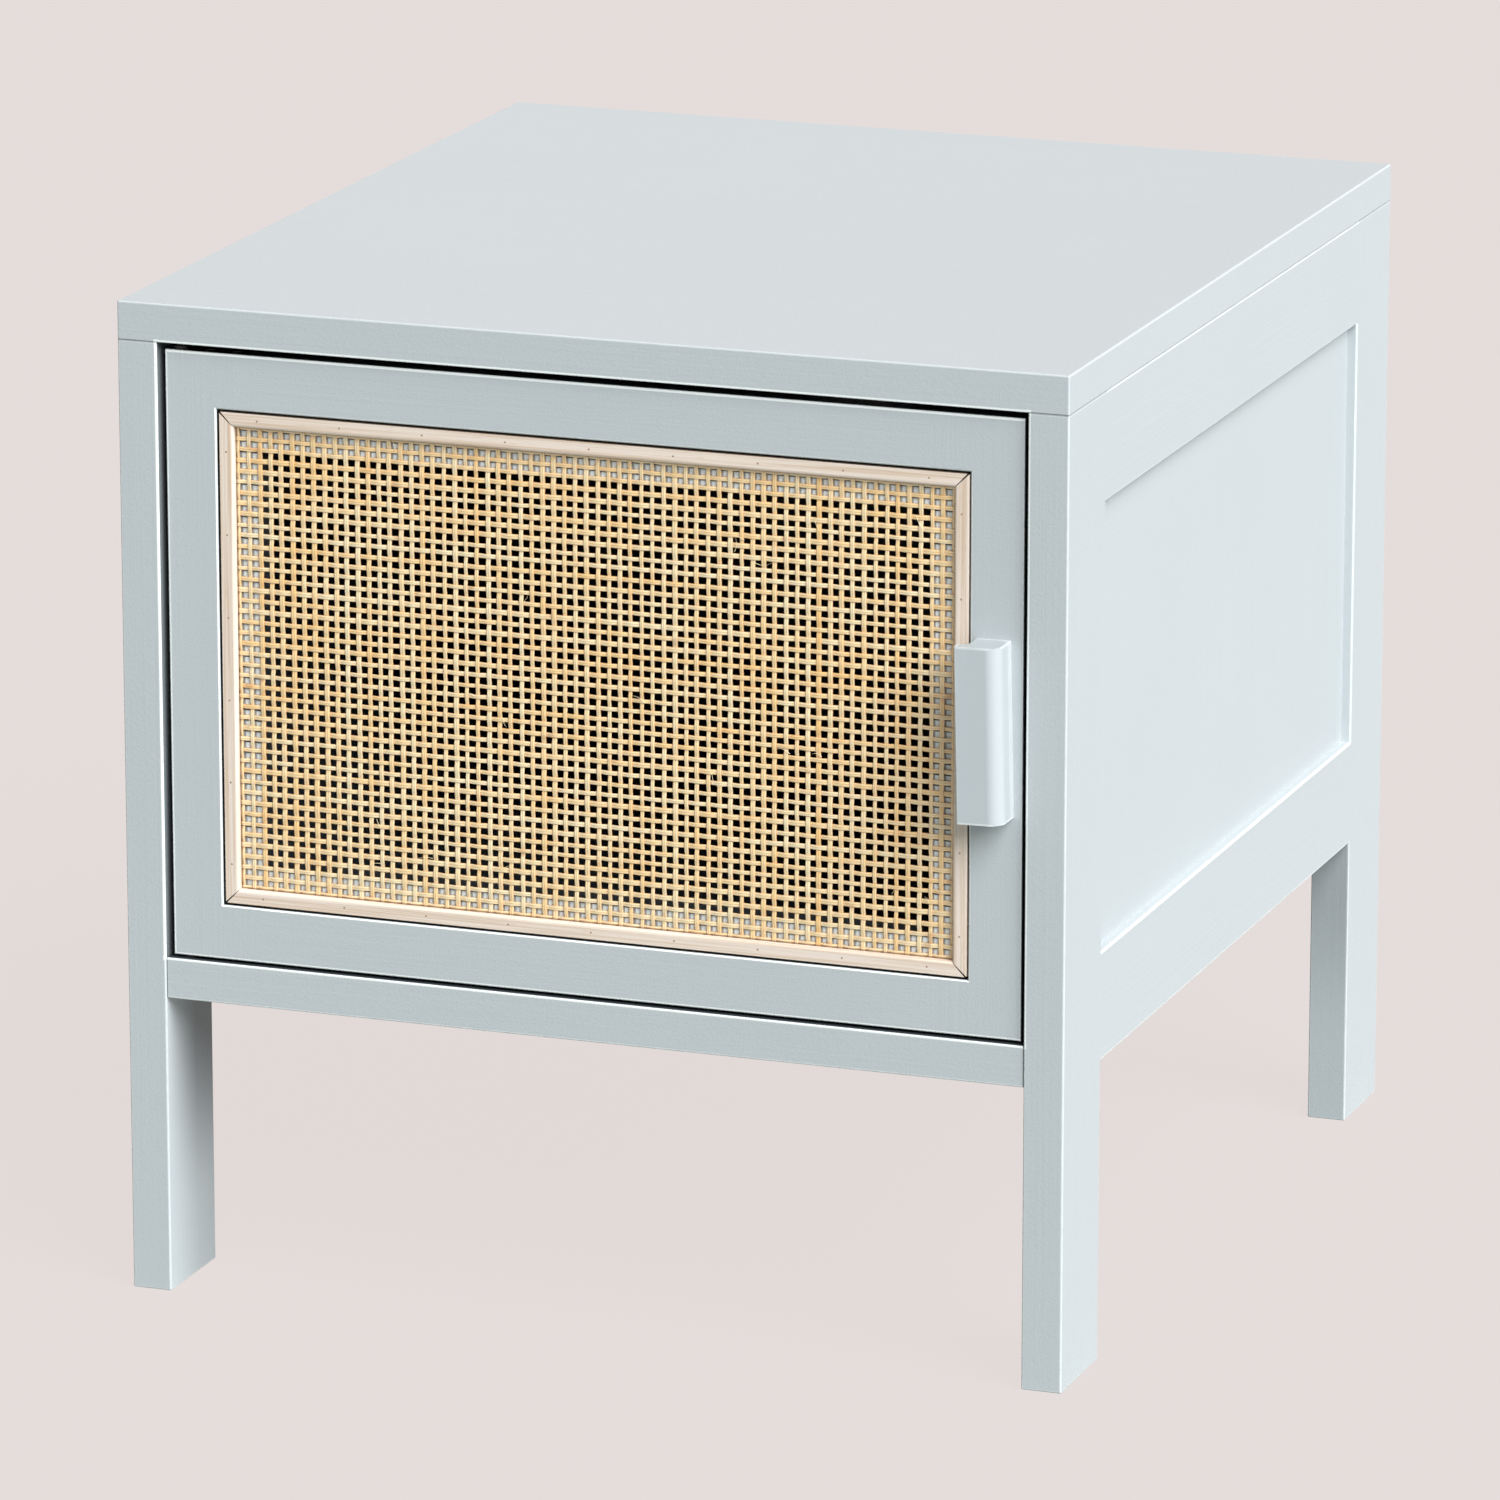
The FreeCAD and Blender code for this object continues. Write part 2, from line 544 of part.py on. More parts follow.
def leaned(shapes):
    """Turned about the centre of the pull's base."""
    centre = V(PULL_X1 - PULL_BASE_W / 2, DOOR_Y0, PULL_Z)
    return [s.rotated(centre, Y, -PULL_LEAN) for s in shapes]


# ---- Catch ----
def catch_parts():
    """A plastic case with a magnet between two steel poles, and the screws that hang it."""
    front = POLE_Y + POLE_OUT
    case = box(CATCH_X - CATCH_L / 2, CATCH_X + CATCH_L / 2, front, front + CATCH_D, TOP_Z - CATCH_H, TOP_Z)
    room_z0, room_z1 = TOP_Z - CATCH_H + CATCH_WALL, TOP_Z - CATCH_WALL
    room_y1 = front + CATCH_D - CATCH_WALL
    half = POLE_L / 2
    case = case.cut(box(CATCH_X - half, CATCH_X + half, front - ROOM, room_y1, room_z0, room_z1))
    poles = [box(CATCH_X - half, CATCH_X + half, POLE_Y, room_y1, z, z + POLE_T)
             for z in (room_z0, room_z1 - POLE_T)]
    magnet = box(CATCH_X - half, CATCH_X + half, front, room_y1, room_z0 + POLE_T, room_z1 - POLE_T)
    middle = front + CATCH_D / 2
    heads = [V(CATCH_X + side * CATCH_SCREW_SPACING / 2, middle, TOP_Z - CATCH_H) for side in (-1, 1)]
    bores, made = screws(heads, Z, CATCH_SCREW_L, CATCH_SCREW_R, CATCH_SCREW_HEAD_R)
    return case, magnet, poles, bores, made


def strike_plate():
    z1 = DOOR_Z1 - STRIKE_DROP
    return box(CATCH_X - STRIKE_L / 2, CATCH_X + STRIKE_L / 2, DOOR_Y1, DOOR_Y1 + STRIKE_T, z1 - STRIKE_H, z1)


def strike_screws():
    z = DOOR_Z1 - STRIKE_DROP - STRIKE_H / 2
    heads = [V(CATCH_X + side * STRIKE_SCREW_SPACING / 2, DOOR_Y1 + STRIKE_T, z) for side in (-1, 1)]
    return screws(heads, -Y, STRIKE_SCREW_L, STRIKE_SCREW_R, STRIKE_SCREW_HEAD_R)


# ---- The whole ----
def cabinet():
    frame_pegs, top_pegs, floor_pegs = frame_dowels(), top_dowels(), floor_dowels()
    top_bolts, top_locks, top_bores, top_holes = top_cams()
    floor_bolts, floor_locks, floor_bores, floor_holes = floor_cams()
    back_bores, back_made = back_screws()
    catch_case, magnet, poles, catch_bores, catch_made = catch_parts()
    top_leaf_bores, top_leaf_screws = leaf_screws(TOP_Z, Z)
    floor_leaf_bores, floor_leaf_screws = leaf_screws(FLOOR_Z, -Z)
    tip_room = rod(V(PIVOT_X, PIVOT_Y, TOP_Z), Z, PIN_R + PIN_CLEARANCE, LEAF_T)

    side_bores = (frame_pegs, top_pegs, floor_pegs, top_bores, top_holes, floor_bolts, back_bores)
    pieces = {}
    left = {
        "stile_front": side_stile(front=True),
        "stile_back": side_stile(front=False),
        "rail_top": side_rail(top=True),
        "rail_bottom": side_rail(top=False),
        "panel": side_panel(),
    }
    for name, shape in left.items():
        pieces[name + "_left"] = bored(shape, *side_bores)
        pieces[name + "_right"] = bored(other_side([shape])[0], *side_bores)
    pieces["top_board"] = bored(top_board(), top_pegs, top_bolts, back_bores, catch_bores,
                                top_leaf_bores, [leaf(TOP_Z), tip_room])
    pieces["bottom_board"] = bored(bottom_board(), floor_pegs, floor_bores, floor_holes, back_bores,
                                   floor_leaf_bores, [leaf(FLOOR_Z - LEAF_T)])
    pieces["back_panel"] = bored(back_panel(), back_bores)
    pieces["back_panel_screws"] = back_made
    pieces["frame_dowels"] = frame_pegs
    pieces["top_dowels"] = top_pegs
    pieces["floor_dowels"] = floor_pegs
    pieces["cam_bolts_top"] = top_bolts
    pieces["cam_locks_top"] = top_locks
    pieces["cam_bolts_floor"] = floor_bolts
    pieces["cam_locks_floor"] = floor_locks
    pieces["hinge_leaf_top_cabinet"] = bored(with_hole(leaf(TOP_Z)), top_leaf_bores)
    floor_leaf = with_pin(leaf(FLOOR_Z - LEAF_T), FLOOR_Z - LEAF_T, DOOR_Z0 + LEAF_T)
    pieces["hinge_leaf_floor_cabinet"] = bored(floor_leaf, floor_leaf_bores)
    pieces["hinge_washer_floor"] = washer(FLOOR_Z)
    pieces["hinge_screws_cabinet"] = top_leaf_screws + floor_leaf_screws
    pieces["catch_case"] = bored(catch_case, catch_bores)
    pieces["catch_magnet"] = magnet
    pieces["catch_poles"] = poles
    pieces["catch_screws"] = catch_made
    return pieces


def door():
    pegs = door_dowels()
    strips, pins = beads()
    pull_fixings = pull_screws()
    strike_bores, strike_made = strike_screws()
    top_leaf_bores, top_leaf_screws = leaf_screws(DOOR_Z1, -Z)
    floor_leaf_bores, floor_leaf_screws = leaf_screws(DOOR_Z0, Z)
    leaves = [leaf(DOOR_Z1 - LEAF_T), leaf(DOOR_Z0)]

    frame_bores = (pegs, pins, pull_fixings, strike_bores, top_leaf_bores, floor_leaf_bores, leaves)
    pieces = {
        "door_stile_hinge": bored(door_stile(hinge_side=True), *frame_bores),
        "door_stile_latch": bored(door_stile(hinge_side=False), *frame_bores),
        "door_rail_top": bored(door_rail(top=True), *frame_bores),
        "door_rail_bottom": bored(door_rail(top=False), *frame_bores),
        "door_dowels": pegs,
        "cane_panel": bored(cane_panel(), pins),
        "bead_pins": pins,
        "door_pull": bored(pull(), pull_fixings),
        "pull_screws": pull_fixings,
        "hinge_washer_top": washer(DOOR_Z1),
        "hinge_screws_door": top_leaf_screws + floor_leaf_screws,
        "strike_plate": bored(strike_plate(), strike_bores),
        "strike_screws": strike_made,
    }
    for name, strip in strips.items():
        pieces[name] = bored(strip, pins)
    top_leaf = with_pin(leaf(DOOR_Z1 - LEAF_T), DOOR_Z1 - LEAF_T, TOP_Z + LEAF_T)
    pieces["hinge_leaf_top_door"] = bored(top_leaf, top_leaf_bores)
    pieces["hinge_leaf_floor_door"] = bored(with_hole(leaf(DOOR_Z0)), floor_leaf_bores)
    return pieces


def export(name, shape):
    """One STEP file per piece; a list of like pieces is one group of separate solids."""
    whole = Part.makeCompound(shape) if isinstance(shape, list) else shape
    solids = [s.translated(ORIGIN * -1) for s in whole.Solids]
    wanted = len(shape) if isinstance(shape, list) else 1
    if len(solids) != wanted or not all(s.isValid() for s in solids):
        raise ValueError(f"{name}: {len(solids)} solids, {wanted} wanted, or one isn't valid")
    piece = solids[0] if wanted == 1 else Part.makeCompound(solids)
    piece.exportStep(os.path.join("parts", name + ".step"))


def main():
    os.makedirs("parts", exist_ok=True)
    for name, shape in {**cabinet(), **door()}.items():
        export(name, shape)


main()
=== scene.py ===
import math
import random

import bmesh
import bpy
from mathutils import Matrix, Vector


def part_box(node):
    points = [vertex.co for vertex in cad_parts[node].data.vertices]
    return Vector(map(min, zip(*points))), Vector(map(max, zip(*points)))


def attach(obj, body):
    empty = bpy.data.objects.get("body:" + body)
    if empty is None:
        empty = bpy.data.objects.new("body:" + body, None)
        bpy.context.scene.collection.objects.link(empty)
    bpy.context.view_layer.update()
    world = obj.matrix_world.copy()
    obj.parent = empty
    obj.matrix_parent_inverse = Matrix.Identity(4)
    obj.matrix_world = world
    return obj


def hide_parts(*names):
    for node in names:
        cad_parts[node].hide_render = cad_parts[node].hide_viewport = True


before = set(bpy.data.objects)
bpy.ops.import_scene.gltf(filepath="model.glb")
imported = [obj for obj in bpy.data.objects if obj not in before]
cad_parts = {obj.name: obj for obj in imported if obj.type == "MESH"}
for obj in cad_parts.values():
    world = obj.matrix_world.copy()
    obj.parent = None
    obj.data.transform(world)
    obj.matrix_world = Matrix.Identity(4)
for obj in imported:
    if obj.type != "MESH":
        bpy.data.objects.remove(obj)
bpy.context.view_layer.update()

bl_info = {
    "name": "Caned Side Table",
    "version": (1, 0, 0),
    "blender": (4, 5, 0),
    "location": "View3D > Sidebar > Side Table",
    "description": "Paints a side table's boards, weaves its cane door and finishes its fittings",
    "category": "Add Mesh",
}

MM = 0.001
PULL_LEAN = math.radians(1.3)  # the pull's top leans towards the hinges
BEAD_PLAY = 0.8 * MM  # between the beads and the door's frame
RAIL_LIP = 18 * MM  # a door rail's lip inside its visible face, less a millimetre
ON_FACE = 0.2 * MM  # how near a face a point counts as on it
SLACK = 0.3 * MM  # how far past a box a mask still reaches
FADE = 0.72  # where the mask along an edge is full, as a share of its width
FINE_GRAIN, COARSE_GRAIN = 620.0, 60.0  # noise across the grain under the paint, per metre
HIGHLIGHT_WEAR_TOP, HIGHLIGHT_WEAR_FLOOR, HIGHLIGHT_WEAR_RAIL, HIGHLIGHT_WEAR_STILE = 0.14, 0.6, 0.85, 0.3  # how pale the painted highlight and wear on the cabinet's arrises are
SEAM_TOP, SEAM_FLOOR = 0.4, 0.8  # dark joints with painted shade: at the top board, at the bottom board's ends
SEAM_CORE, SEAM_EDGE = 0.35 * MM, 0.60 * MM  # where a joint's dark line ends being full, and ends
MITRE_CORE, MITRE_EDGE = 0.24 * MM, 0.42 * MM  # the same for the painted shade around the beads
LEG_SHADOW_FROM, LEG_SHADOW_TO, LEG_SHADOW_ACROSS = 25 * MM, 110 * MM, 28 * MM  # the painted shadow on the legs' inner faces
ALONG_X, ALONG_Y, ALONG_Z = (1.0, 0.0, 0.0), (0.0, 1.0, 0.0), (0.0, 0.0, 1.0)
NONE = (0.0, 0.0, 0.0)

# The nodes around a space: left, right, bottom, top.
ROOM = ("panel_left", "panel_right", "bottom_board", "top_board")
DOORWAY = ("stile_front_left", "stile_front_right", "bottom_board", "top_board")
DOOR = ("door_stile_hinge", "door_stile_latch", "door_rail_bottom", "door_rail_top")
BEADS = ("bead_left", "bead_right", "bead_bottom", "bead_top")

# Nodes by the way their grain runs, and by their finish.
DOOR_RAILS = DOOR[2:]
SIDE_RAILS = ("rail_top_left", "rail_top_right", "rail_bottom_left", "rail_bottom_right")
SIDE_STILES = ("stile_front_left", "stile_front_right", "stile_back_left", "stile_back_right")
SIDE_PANELS = ROOM[:2]
ZINC = ("back_panel_screws", "cam_bolts_top", "cam_bolts_floor", "hinge_screws_cabinet", "catch_poles",
        "catch_screws", "pull_screws", "hinge_screws_door", "strike_screws")
CAST = ("cam_locks_top", "cam_locks_floor")
BLACKENED = ("hinge_leaf_top_cabinet", "hinge_leaf_floor_cabinet", "hinge_leaf_top_door",
             "hinge_leaf_floor_door", "strike_plate")
NYLON = ("hinge_washer_floor", "hinge_washer_top")
DOWELS = ("frame_dowels", "top_dowels", "floor_dowels", "door_dowels")


def srgb(red, green, blue):
    """A linear colour from 0-255 display values."""
    def linear(value):
        value /= 255
        return value / 12.92 if value <= 0.04045 else ((value + 0.055) / 1.055) ** 2.4
    return (linear(red), linear(green), linear(blue), 1.0)


def inner_box(nodes, low_y, high_y):
    """The box between the inner sides of four nodes around a space, and between two levels of Y."""
    left, right, bottom, top = (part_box(name) for name in nodes)
    return Vector((left[1].x, low_y, bottom[1].z)), Vector((right[0].x, high_y, top[0].z))


def outer_box(nodes, low_y, high_y):
    """The same between their outer sides."""
    left, right, bottom, top = (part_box(name) for name in nodes)
    return Vector((left[0].x, low_y, bottom[0].z)), Vector((right[1].x, high_y, top[1].z))


# ---- Settings ----
def a_colour(name, description, *display):
    return bpy.props.FloatVectorProperty(name=name, description=description, default=srgb(*display),
                                         subtype="COLOR", size=4, min=0.0, max=1.0)


def a_vector(name, description, subtype, default):
    return bpy.props.FloatVectorProperty(name=name, description=description, default=default, subtype=subtype)


def a_length(name, description, millimetres):
    return bpy.props.FloatProperty(name=name, description=description, default=millimetres * MM, min=0.0,
                                   unit="LENGTH", precision=5)


def a_share(name, description, default):
    return bpy.props.FloatProperty(name=name, description=description, default=default, min=0.0, max=1.0,
                                   subtype="FACTOR")


def an_amount(name, description, default):
    return bpy.props.FloatProperty(name=name, description=description, default=default, min=0.0)


def an_angle(name, description, degrees):
    return bpy.props.FloatProperty(name=name, description=description, default=math.radians(degrees),
                                   subtype="ANGLE")


def a_count(name, description, default):
    return bpy.props.IntProperty(name=name, description=description, default=default, min=2)


class PaintSettings(bpy.types.PropertyGroup):
    body: a_colour("Body", "Paint of the cabinet and the door's frame", 196, 202, 205)
    pull: a_colour("Pull", "Paint of the pull", 196, 202, 206)
    back: a_colour("Back board", "Paint of the back panel", 180, 189, 188)
    # Painted shade in the door's gap and window, in the joints and on the legs' inner faces under the cabinet
    gap: a_colour("Gaps", "Thin paint over primer in the door's gap and the joints", 58, 64, 68)
    # Lighter painted shade in the gap beside the left front stile
    lit_gap_shade: a_colour("Hinge gap", "The same on the lighter hinge side", 126, 132, 135)
    # Painted shade on the faces inside the cabinet
    room_shade: a_colour("Inside", "Dark finish of the faces inside the cabinet", 88, 93, 95)
    # Painted shadow of the cane's strands on the door's lip
    shade: a_colour("Lip", "Dust on the door's lip behind the strands of the cane", 44, 48, 50)
    # Painted shade on the pull's top and bottom faces
    end: a_colour("Ends", "Paint on the pull's sawn ends, which drink it", 180, 187, 190)
    # Painted highlight on the arrises, the rims and the pull's rounded faces, with some wear on the arrises
    edge: a_colour("Edges", "Paint where it thins over the arrises", 250, 254, 254)
    roughness: a_share("Roughness", "Roughness of the satin paint", 0.42)
    arris: a_length("Arris", "How far from an edge the paint is paler", 1.1)
    rim: a_length("Rim", "How far from the door's gap the paint is paler", 1.3)
    window_rim: a_length("Window rim", "How far from the door's window the paint is paler", 0.9)
    # Depths from which the painted shade starts in the door's gap and in its window
    gap_shade_from: a_length("Gap from", "How deep in the door's gap the paint gets thin", 0.8)
    window_shade_from: a_length("Window from", "The same in the door's window", 0.35)


class CaneSettings(bpy.types.PropertyGroup):
    across: a_count("Upright strands", "Strands over the panel's width", 68)
    up: a_count("Level strands", "Strands over the panel's height", 46)
    width: a_length("Strand width", "Width of one strand", 2.1)
    thickness: a_length("Strand thickness", "Thickness of one strand", 0.5)
    swing: a_length("Swing", "How far a strand swings off the middle at a crossing", 0.3)
    wander: a_length("Wander", "How far a strand strays sideways", 0.42)
    fibres: a_count("Loose fibres", "Fibres that stand off the weave", 30)
    pale: a_colour("Pale", "Peel of the cane", 255, 240, 200)
    warm: a_colour("Warm", "Peel where it is riper", 255, 205, 128)
    # Also the colour of the painted shade deeper in the weave
    seam: a_colour("Seam", "Groove and edges of a strand", 206, 130, 62)


class BeadSettings(bpy.types.PropertyGroup):
    pale: a_colour("Pale", "Raw wood of the beads", 246, 230, 217)
    streak: a_colour("Streak", "Grain lines in the beads", 222, 196, 172)
    # Painted shade in the mitres and along the beads' outer edges
    mitre_shade: a_colour("Mitres", "Sawn ends of the beads", 70, 54, 42)


class FittingSettings(bpy.types.PropertyGroup):
    zinc: a_colour("Zinc", "Screws and bolts", 176, 178, 176)
    cast: a_colour("Cast zinc", "Cam locks", 148, 149, 150)
    black: a_colour("Black oxide", "Hinge leaves and strike plate", 58, 58, 61)
    nylon: a_colour("Nylon", "Hinge washers", 52, 52, 54)
    plastic: a_colour("Plastic", "Case of the catch", 228, 228, 224)
    magnet: a_colour("Magnet", "Ferrite of the catch", 38, 37, 38)
    beech: a_colour("Beech", "Dowels", 214, 176, 132)
    pin: a_colour("Pins", "Heads of the bead pins", 176, 150, 122)


class StageSettings(bpy.types.PropertyGroup):
    ground: a_colour("Ground", "Floor and backdrop as they are seen", 229, 220, 218)
    bounce: a_colour("Bounce", "Floor as it lights the table", 157, 166, 163)
    ground_glow: a_share("Evenness", "How far the ground hides shadows", 0.94)
    sky: an_amount("Sky", "Strength of the light from all round", 0.16)
    key_lamp: an_amount("Key lamp", "Strength of the wide lamp", 5.07)
    key_from: a_vector("Key lamp from", "Direction that it shines from", "DIRECTION", (0.643, -0.39, 0.661))
    key_spread: an_angle("Key lamp's spread", "How wide it looks", 48)
    eye: a_vector("Eye", "Place of the camera", "XYZ", (1.5115, -4.1662, 1.4002))
    turn: an_angle("Turn", "Camera's turn to the left", 20.06)
    dip: an_angle("Dip", "Camera's tilt down", 14.921)
    lens: an_amount("Lens", "Focal length in millimetres", 231.6)


SETTINGS = {"paint": PaintSettings, "cane": CaneSettings, "bead": BeadSettings, "fitting": FittingSettings,
            "stage": StageSettings}


class SideTableSettings(bpy.types.PropertyGroup):
    __annotations__ = {name: bpy.props.PointerProperty(type=kind) for name, kind in SETTINGS.items()}


# ---- Nodes ----
class Wiring:
    """Adds nodes to one tree and links them. Each value is a number, a colour or another node's output."""

    def __init__(self, tree):
        self.tree = tree

    def add(self, kind, inputs=(), **settings):
        node = self.tree.nodes.new("ShaderNode" + kind)
        for name, value in settings.items():
            setattr(node, name, value)
        for key, value in dict(inputs).items():
            self.feed(node.inputs[key], value)
        return node

    def feed(self, socket, value):
        if isinstance(value, bpy.types.NodeSocket):
            self.tree.links.new(value, socket)
        else:
            socket.default_value = value

    def math(self, operation, first, second=0.0, clamp=False):
        node = self.add("Math", {0: first, 1: second}, operation=operation, use_clamp=clamp)
        return node.outputs[0]

    def plus(self, first, second):
        return self.math("ADD", first, second)

    def minus(self, first, second):
        return self.math("SUBTRACT", first, second)

    def times(self, first, second):
        return self.math("MULTIPLY", first, second)

    def least(self, first, second):
        return self.math("MINIMUM", first, second)

    def most(self, first, second):
        return self.math("MAXIMUM", first, second)

    def size(self, value):
        """The value without its sign."""
        return self.math("ABSOLUTE", value)

    def apart(self, first, second):
        """How far apart two values are."""
        return self.size(self.minus(first, second))

    def on_face(self, value, level):
        """1 where a coordinate is on a face at that level."""
        return self.math("LESS_THAN", self.apart(value, level), ON_FACE)

    def reach(self, inside, slack):
        """1 where a distance into a box is no less than minus the slack."""
        return self.math("GREATER_THAN", self.plus(inside, slack), 0.0)

    def swing(self, value, amount):
        """A value around 0.5 moved to around 0 and scaled."""
        return self.times(self.minus(value, 0.5), amount)

    def vector(self, operation, first, second=NONE):
        node = self.add("VectorMath", {0: first, 1: second}, operation=operation)
        return node.outputs["Vector"]

    def parts(self, vector):
        """The vector's three coordinates."""
        return self.add("SeparateXYZ", {"Vector": vector}).outputs

    def facing(self):
        """How far a face looks along each axis, from 0 to 1."""
        normal = self.add("NewGeometry").outputs["True Normal"]
        return self.parts(self.vector("ABSOLUTE", normal))

    def depth_in(self, place, low, high):
        """How deep a place is in the box from low to high, from the nearer face, along each axis."""
        above, below = self.vector("SUBTRACT", place, low), self.vector("SUBTRACT", high, place)
        return self.parts(self.vector("MINIMUM", above, below))

    def noise(self, vector, scale, detail=2.0, roughness=0.5):
        inputs = {"Vector": vector, "Scale": scale, "Detail": detail, "Roughness": roughness}
        return self.add("TexNoise", inputs).outputs["Fac"]

    def streaks(self, vector, stretch, detail=2.0, roughness=0.5):
        """Noise with its own scale, per metre, along each axis."""
        return self.noise(self.vector("MULTIPLY", vector, stretch), 1.0, detail, roughness)

    def ramp(self, value, low, high, to_low=0.0, to_high=1.0):
        """Goes smoothly from to_low to to_high as the value goes from low to high."""
        inputs = {"Value": value, "From Min": low, "From Max": high, "To Min": to_low, "To Max": to_high}
        return self.add("MapRange", inputs, interpolation_type="SMOOTHSTEP").outputs["Result"]

    def mix(self, factor, first, second):
        return self.add("Mix", {0: factor, 6: first, 7: second}, data_type="RGBA").outputs[2]

    def shaded(self, colour, amount):
        """The colour made lighter or darker by amount, which is around 1."""
        if not isinstance(colour, bpy.types.NodeSocket):
            colour = tuple(colour)[:3]
        node = self.add("VectorMath", {0: colour, "Scale": amount}, operation="SCALE")
        return node.outputs["Vector"]

    def seen(self):
        """1 for the rays that show a thing, as against those that it lights."""
        rays = self.add("LightPath").outputs
        shown = self.most(rays["Is Camera Ray"], rays["Is Glossy Ray"])
        return self.most(shown, rays["Is Transmission Ray"])

    def group(self, kind, **inputs):
        node = self.add("Group", node_tree=shared(kind))
        for key, value in inputs.items():
            self.feed(node.inputs[key], value)
        return node.outputs


def new_group(name, inputs, outputs):
    """An empty node group with sockets by kind, its wiring, and what it is given and puts out."""
    group = bpy.data.node_groups.new(name, "ShaderNodeTree")
    for way, sockets in (("INPUT", inputs), ("OUTPUT", outputs)):
        for kind, labels in sockets.items():
            for label in labels:
                group.interface.new_socket(name=label, in_out=way, socket_type="NodeSocket" + kind)
    given, out = group.nodes.new("NodeGroupInput"), group.nodes.new("NodeGroupOutput")
    return group, Wiring(group), given.outputs, out.inputs


def new_material(name):
    """A material with one Principled shader, its wiring and its object coordinates."""
    material = bpy.data.materials.new(name)
    material.use_nodes = True
    material.node_tree.nodes.clear()
    wiring = Wiring(material.node_tree)
    shader = wiring.add("BsdfPrincipled")
    output = wiring.add("OutputMaterial")
    wiring.feed(output.inputs["Surface"], shader.outputs["BSDF"])
    place = wiring.add("TexCoord").outputs["Object"]
    return material, wiring, shader, place


def dress(wiring, shader, made, relief):
    """Feeds a shader from a finish's outputs. relief is how high its bumps are."""
    wiring.feed(shader.inputs["Base Color"], made["Colour"])
    wiring.feed(shader.inputs["Roughness"], made["Roughness"])
    bump = wiring.add("Bump", {"Height": made["Height"], "Strength": 1.0, "Distance": relief})
    wiring.feed(shader.inputs["Normal"], bump.outputs["Normal"])


def paint_over(wiring, shader, mask, colour):
    under = shader.inputs["Base Color"].links[0].from_socket
    wiring.feed(shader.inputs["Base Color"], wiring.mix(mask, under, colour))


# ---- Shared node groups ----
FINISH = {"Color": ("Colour",), "Float": ("Roughness", "Height")}


def paint_film_group():
    """Sprayed and sanded paint: streaks along the grain under it, a fine orange peel and slow clouds."""
    group, w, given, out = new_group(
        "Paint film",
        {"Vector": ("Vector", "Stretch"), "Color": ("Colour",), "Float": ("Roughness",)}, FINISH)
    place = given["Vector"]
    grain = w.streaks(place, given["Stretch"], 4.0, 0.62)
    pores = w.ramp(grain, 0.60, 0.72)
    peel = w.noise(place, 900.0, 2.0)
    clouds = w.noise(place, 9.0, 3.0)
    tone = w.plus(w.times(grain, 0.045), 0.9775)
    tone = w.plus(w.plus(tone, w.swing(clouds, 0.030)), w.times(pores, 0.020))
    w.feed(out["Colour"], w.shaded(given["Colour"], tone))
    rough = w.plus(given["Roughness"], w.swing(peel, 0.22))
    w.feed(out["Roughness"], w.plus(rough, w.swing(clouds, 0.12)))
    w.feed(out["Height"], w.plus(w.times(grain, 0.6), w.times(peel, 0.7)))
    return group


def arris_group():
    """A mask that is 1 along the edges of the box from Low to High. Low apart and High apart are 1 along the
    axes whose faces don't count, because they are glued flush to a neighbour."""
    group, w, given, out = new_group(
        "Arris mask", {"Vector": ("Vector", "Low", "High", "Low apart", "High apart"), "Float": ("Width",)},
        {"Float": ("Mask",)})
    above = w.vector("ADD", w.vector("SUBTRACT", given["Vector"], given["Low"]), given["Low apart"])
    below = w.vector("ADD", w.vector("SUBTRACT", given["High"], given["Vector"]), given["High apart"])
    x, y, z = w.parts(w.vector("MINIMUM", above, below))
    near_two = w.minus(w.plus(w.plus(x, y), z), w.most(w.most(x, y), z))
    w.feed(out["Mask"], w.ramp(near_two, given["Width"], w.times(given["Width"], FADE)))
    return group


def gap_group():
    """Masks for the box from Low to High, open to the front. Inside is 1 on its faces along X and Z from a
    depth on. Rim is 1 around its front edge."""
    group, w, given, out = new_group(
        "Gap mask", {"Vector": ("Vector", "Low", "High"), "Float": ("From", "Width")},
        {"Float": ("Inside", "Rim")})
    x, y, z = w.depth_in(given["Vector"], given["Low"], given["High"])
    behind = w.minus(w.parts(given["Vector"])["Y"], w.parts(given["Low"])["Y"])
    within = w.times(w.times(w.reach(x, given["Width"]), w.reach(z, given["Width"])),
                     w.reach(y, given["Width"]))
    off = w.least(w.size(x), w.size(z))
    inside = w.times(w.math("LESS_THAN", off, ON_FACE), within)
    # Painted shade on the inside faces, fading in from the given depth
    thin = w.ramp(behind, given["From"], w.plus(given["From"], 0.6 * MM))
    w.feed(out["Inside"], w.times(inside, thin))
    rim = w.ramp(w.most(off, w.size(behind)), given["Width"], w.times(given["Width"], FADE))
    w.feed(out["Rim"], w.times(rim, within))
    return group


def grain_group():
    """Planed wood: fine streaks along X, broken by slow bands and small dark flecks."""
    group, w, given, out = new_group(
        "Wood grain", {"Vector": ("Vector",), "Color": ("Pale", "Streak"), "Float": ("Flecks",)}, FINISH)
    place = given["Vector"]
    fine = w.streaks(place, (14.0, 1500.0, 1500.0), 3.0, 0.6)
    bands = w.streaks(place, (6.0, 340.0, 340.0), 2.0)
    flecks = w.ramp(w.streaks(place, (120.0, 2600.0, 2600.0), 1.0), 0.68, 0.80)
    streak = w.ramp(w.plus(w.times(fine, 0.6), w.times(bands, 0.4)), 0.42, 0.66)
    colour = w.mix(streak, given["Pale"], given["Streak"])
    w.feed(out["Colour"], w.mix(w.times(flecks, given["Flecks"]), colour, srgb(176, 138, 104)))
    w.feed(out["Roughness"], w.ramp(fine, 0.2, 0.8, 0.50, 0.72))
    w.feed(out["Height"], fine)
    return group


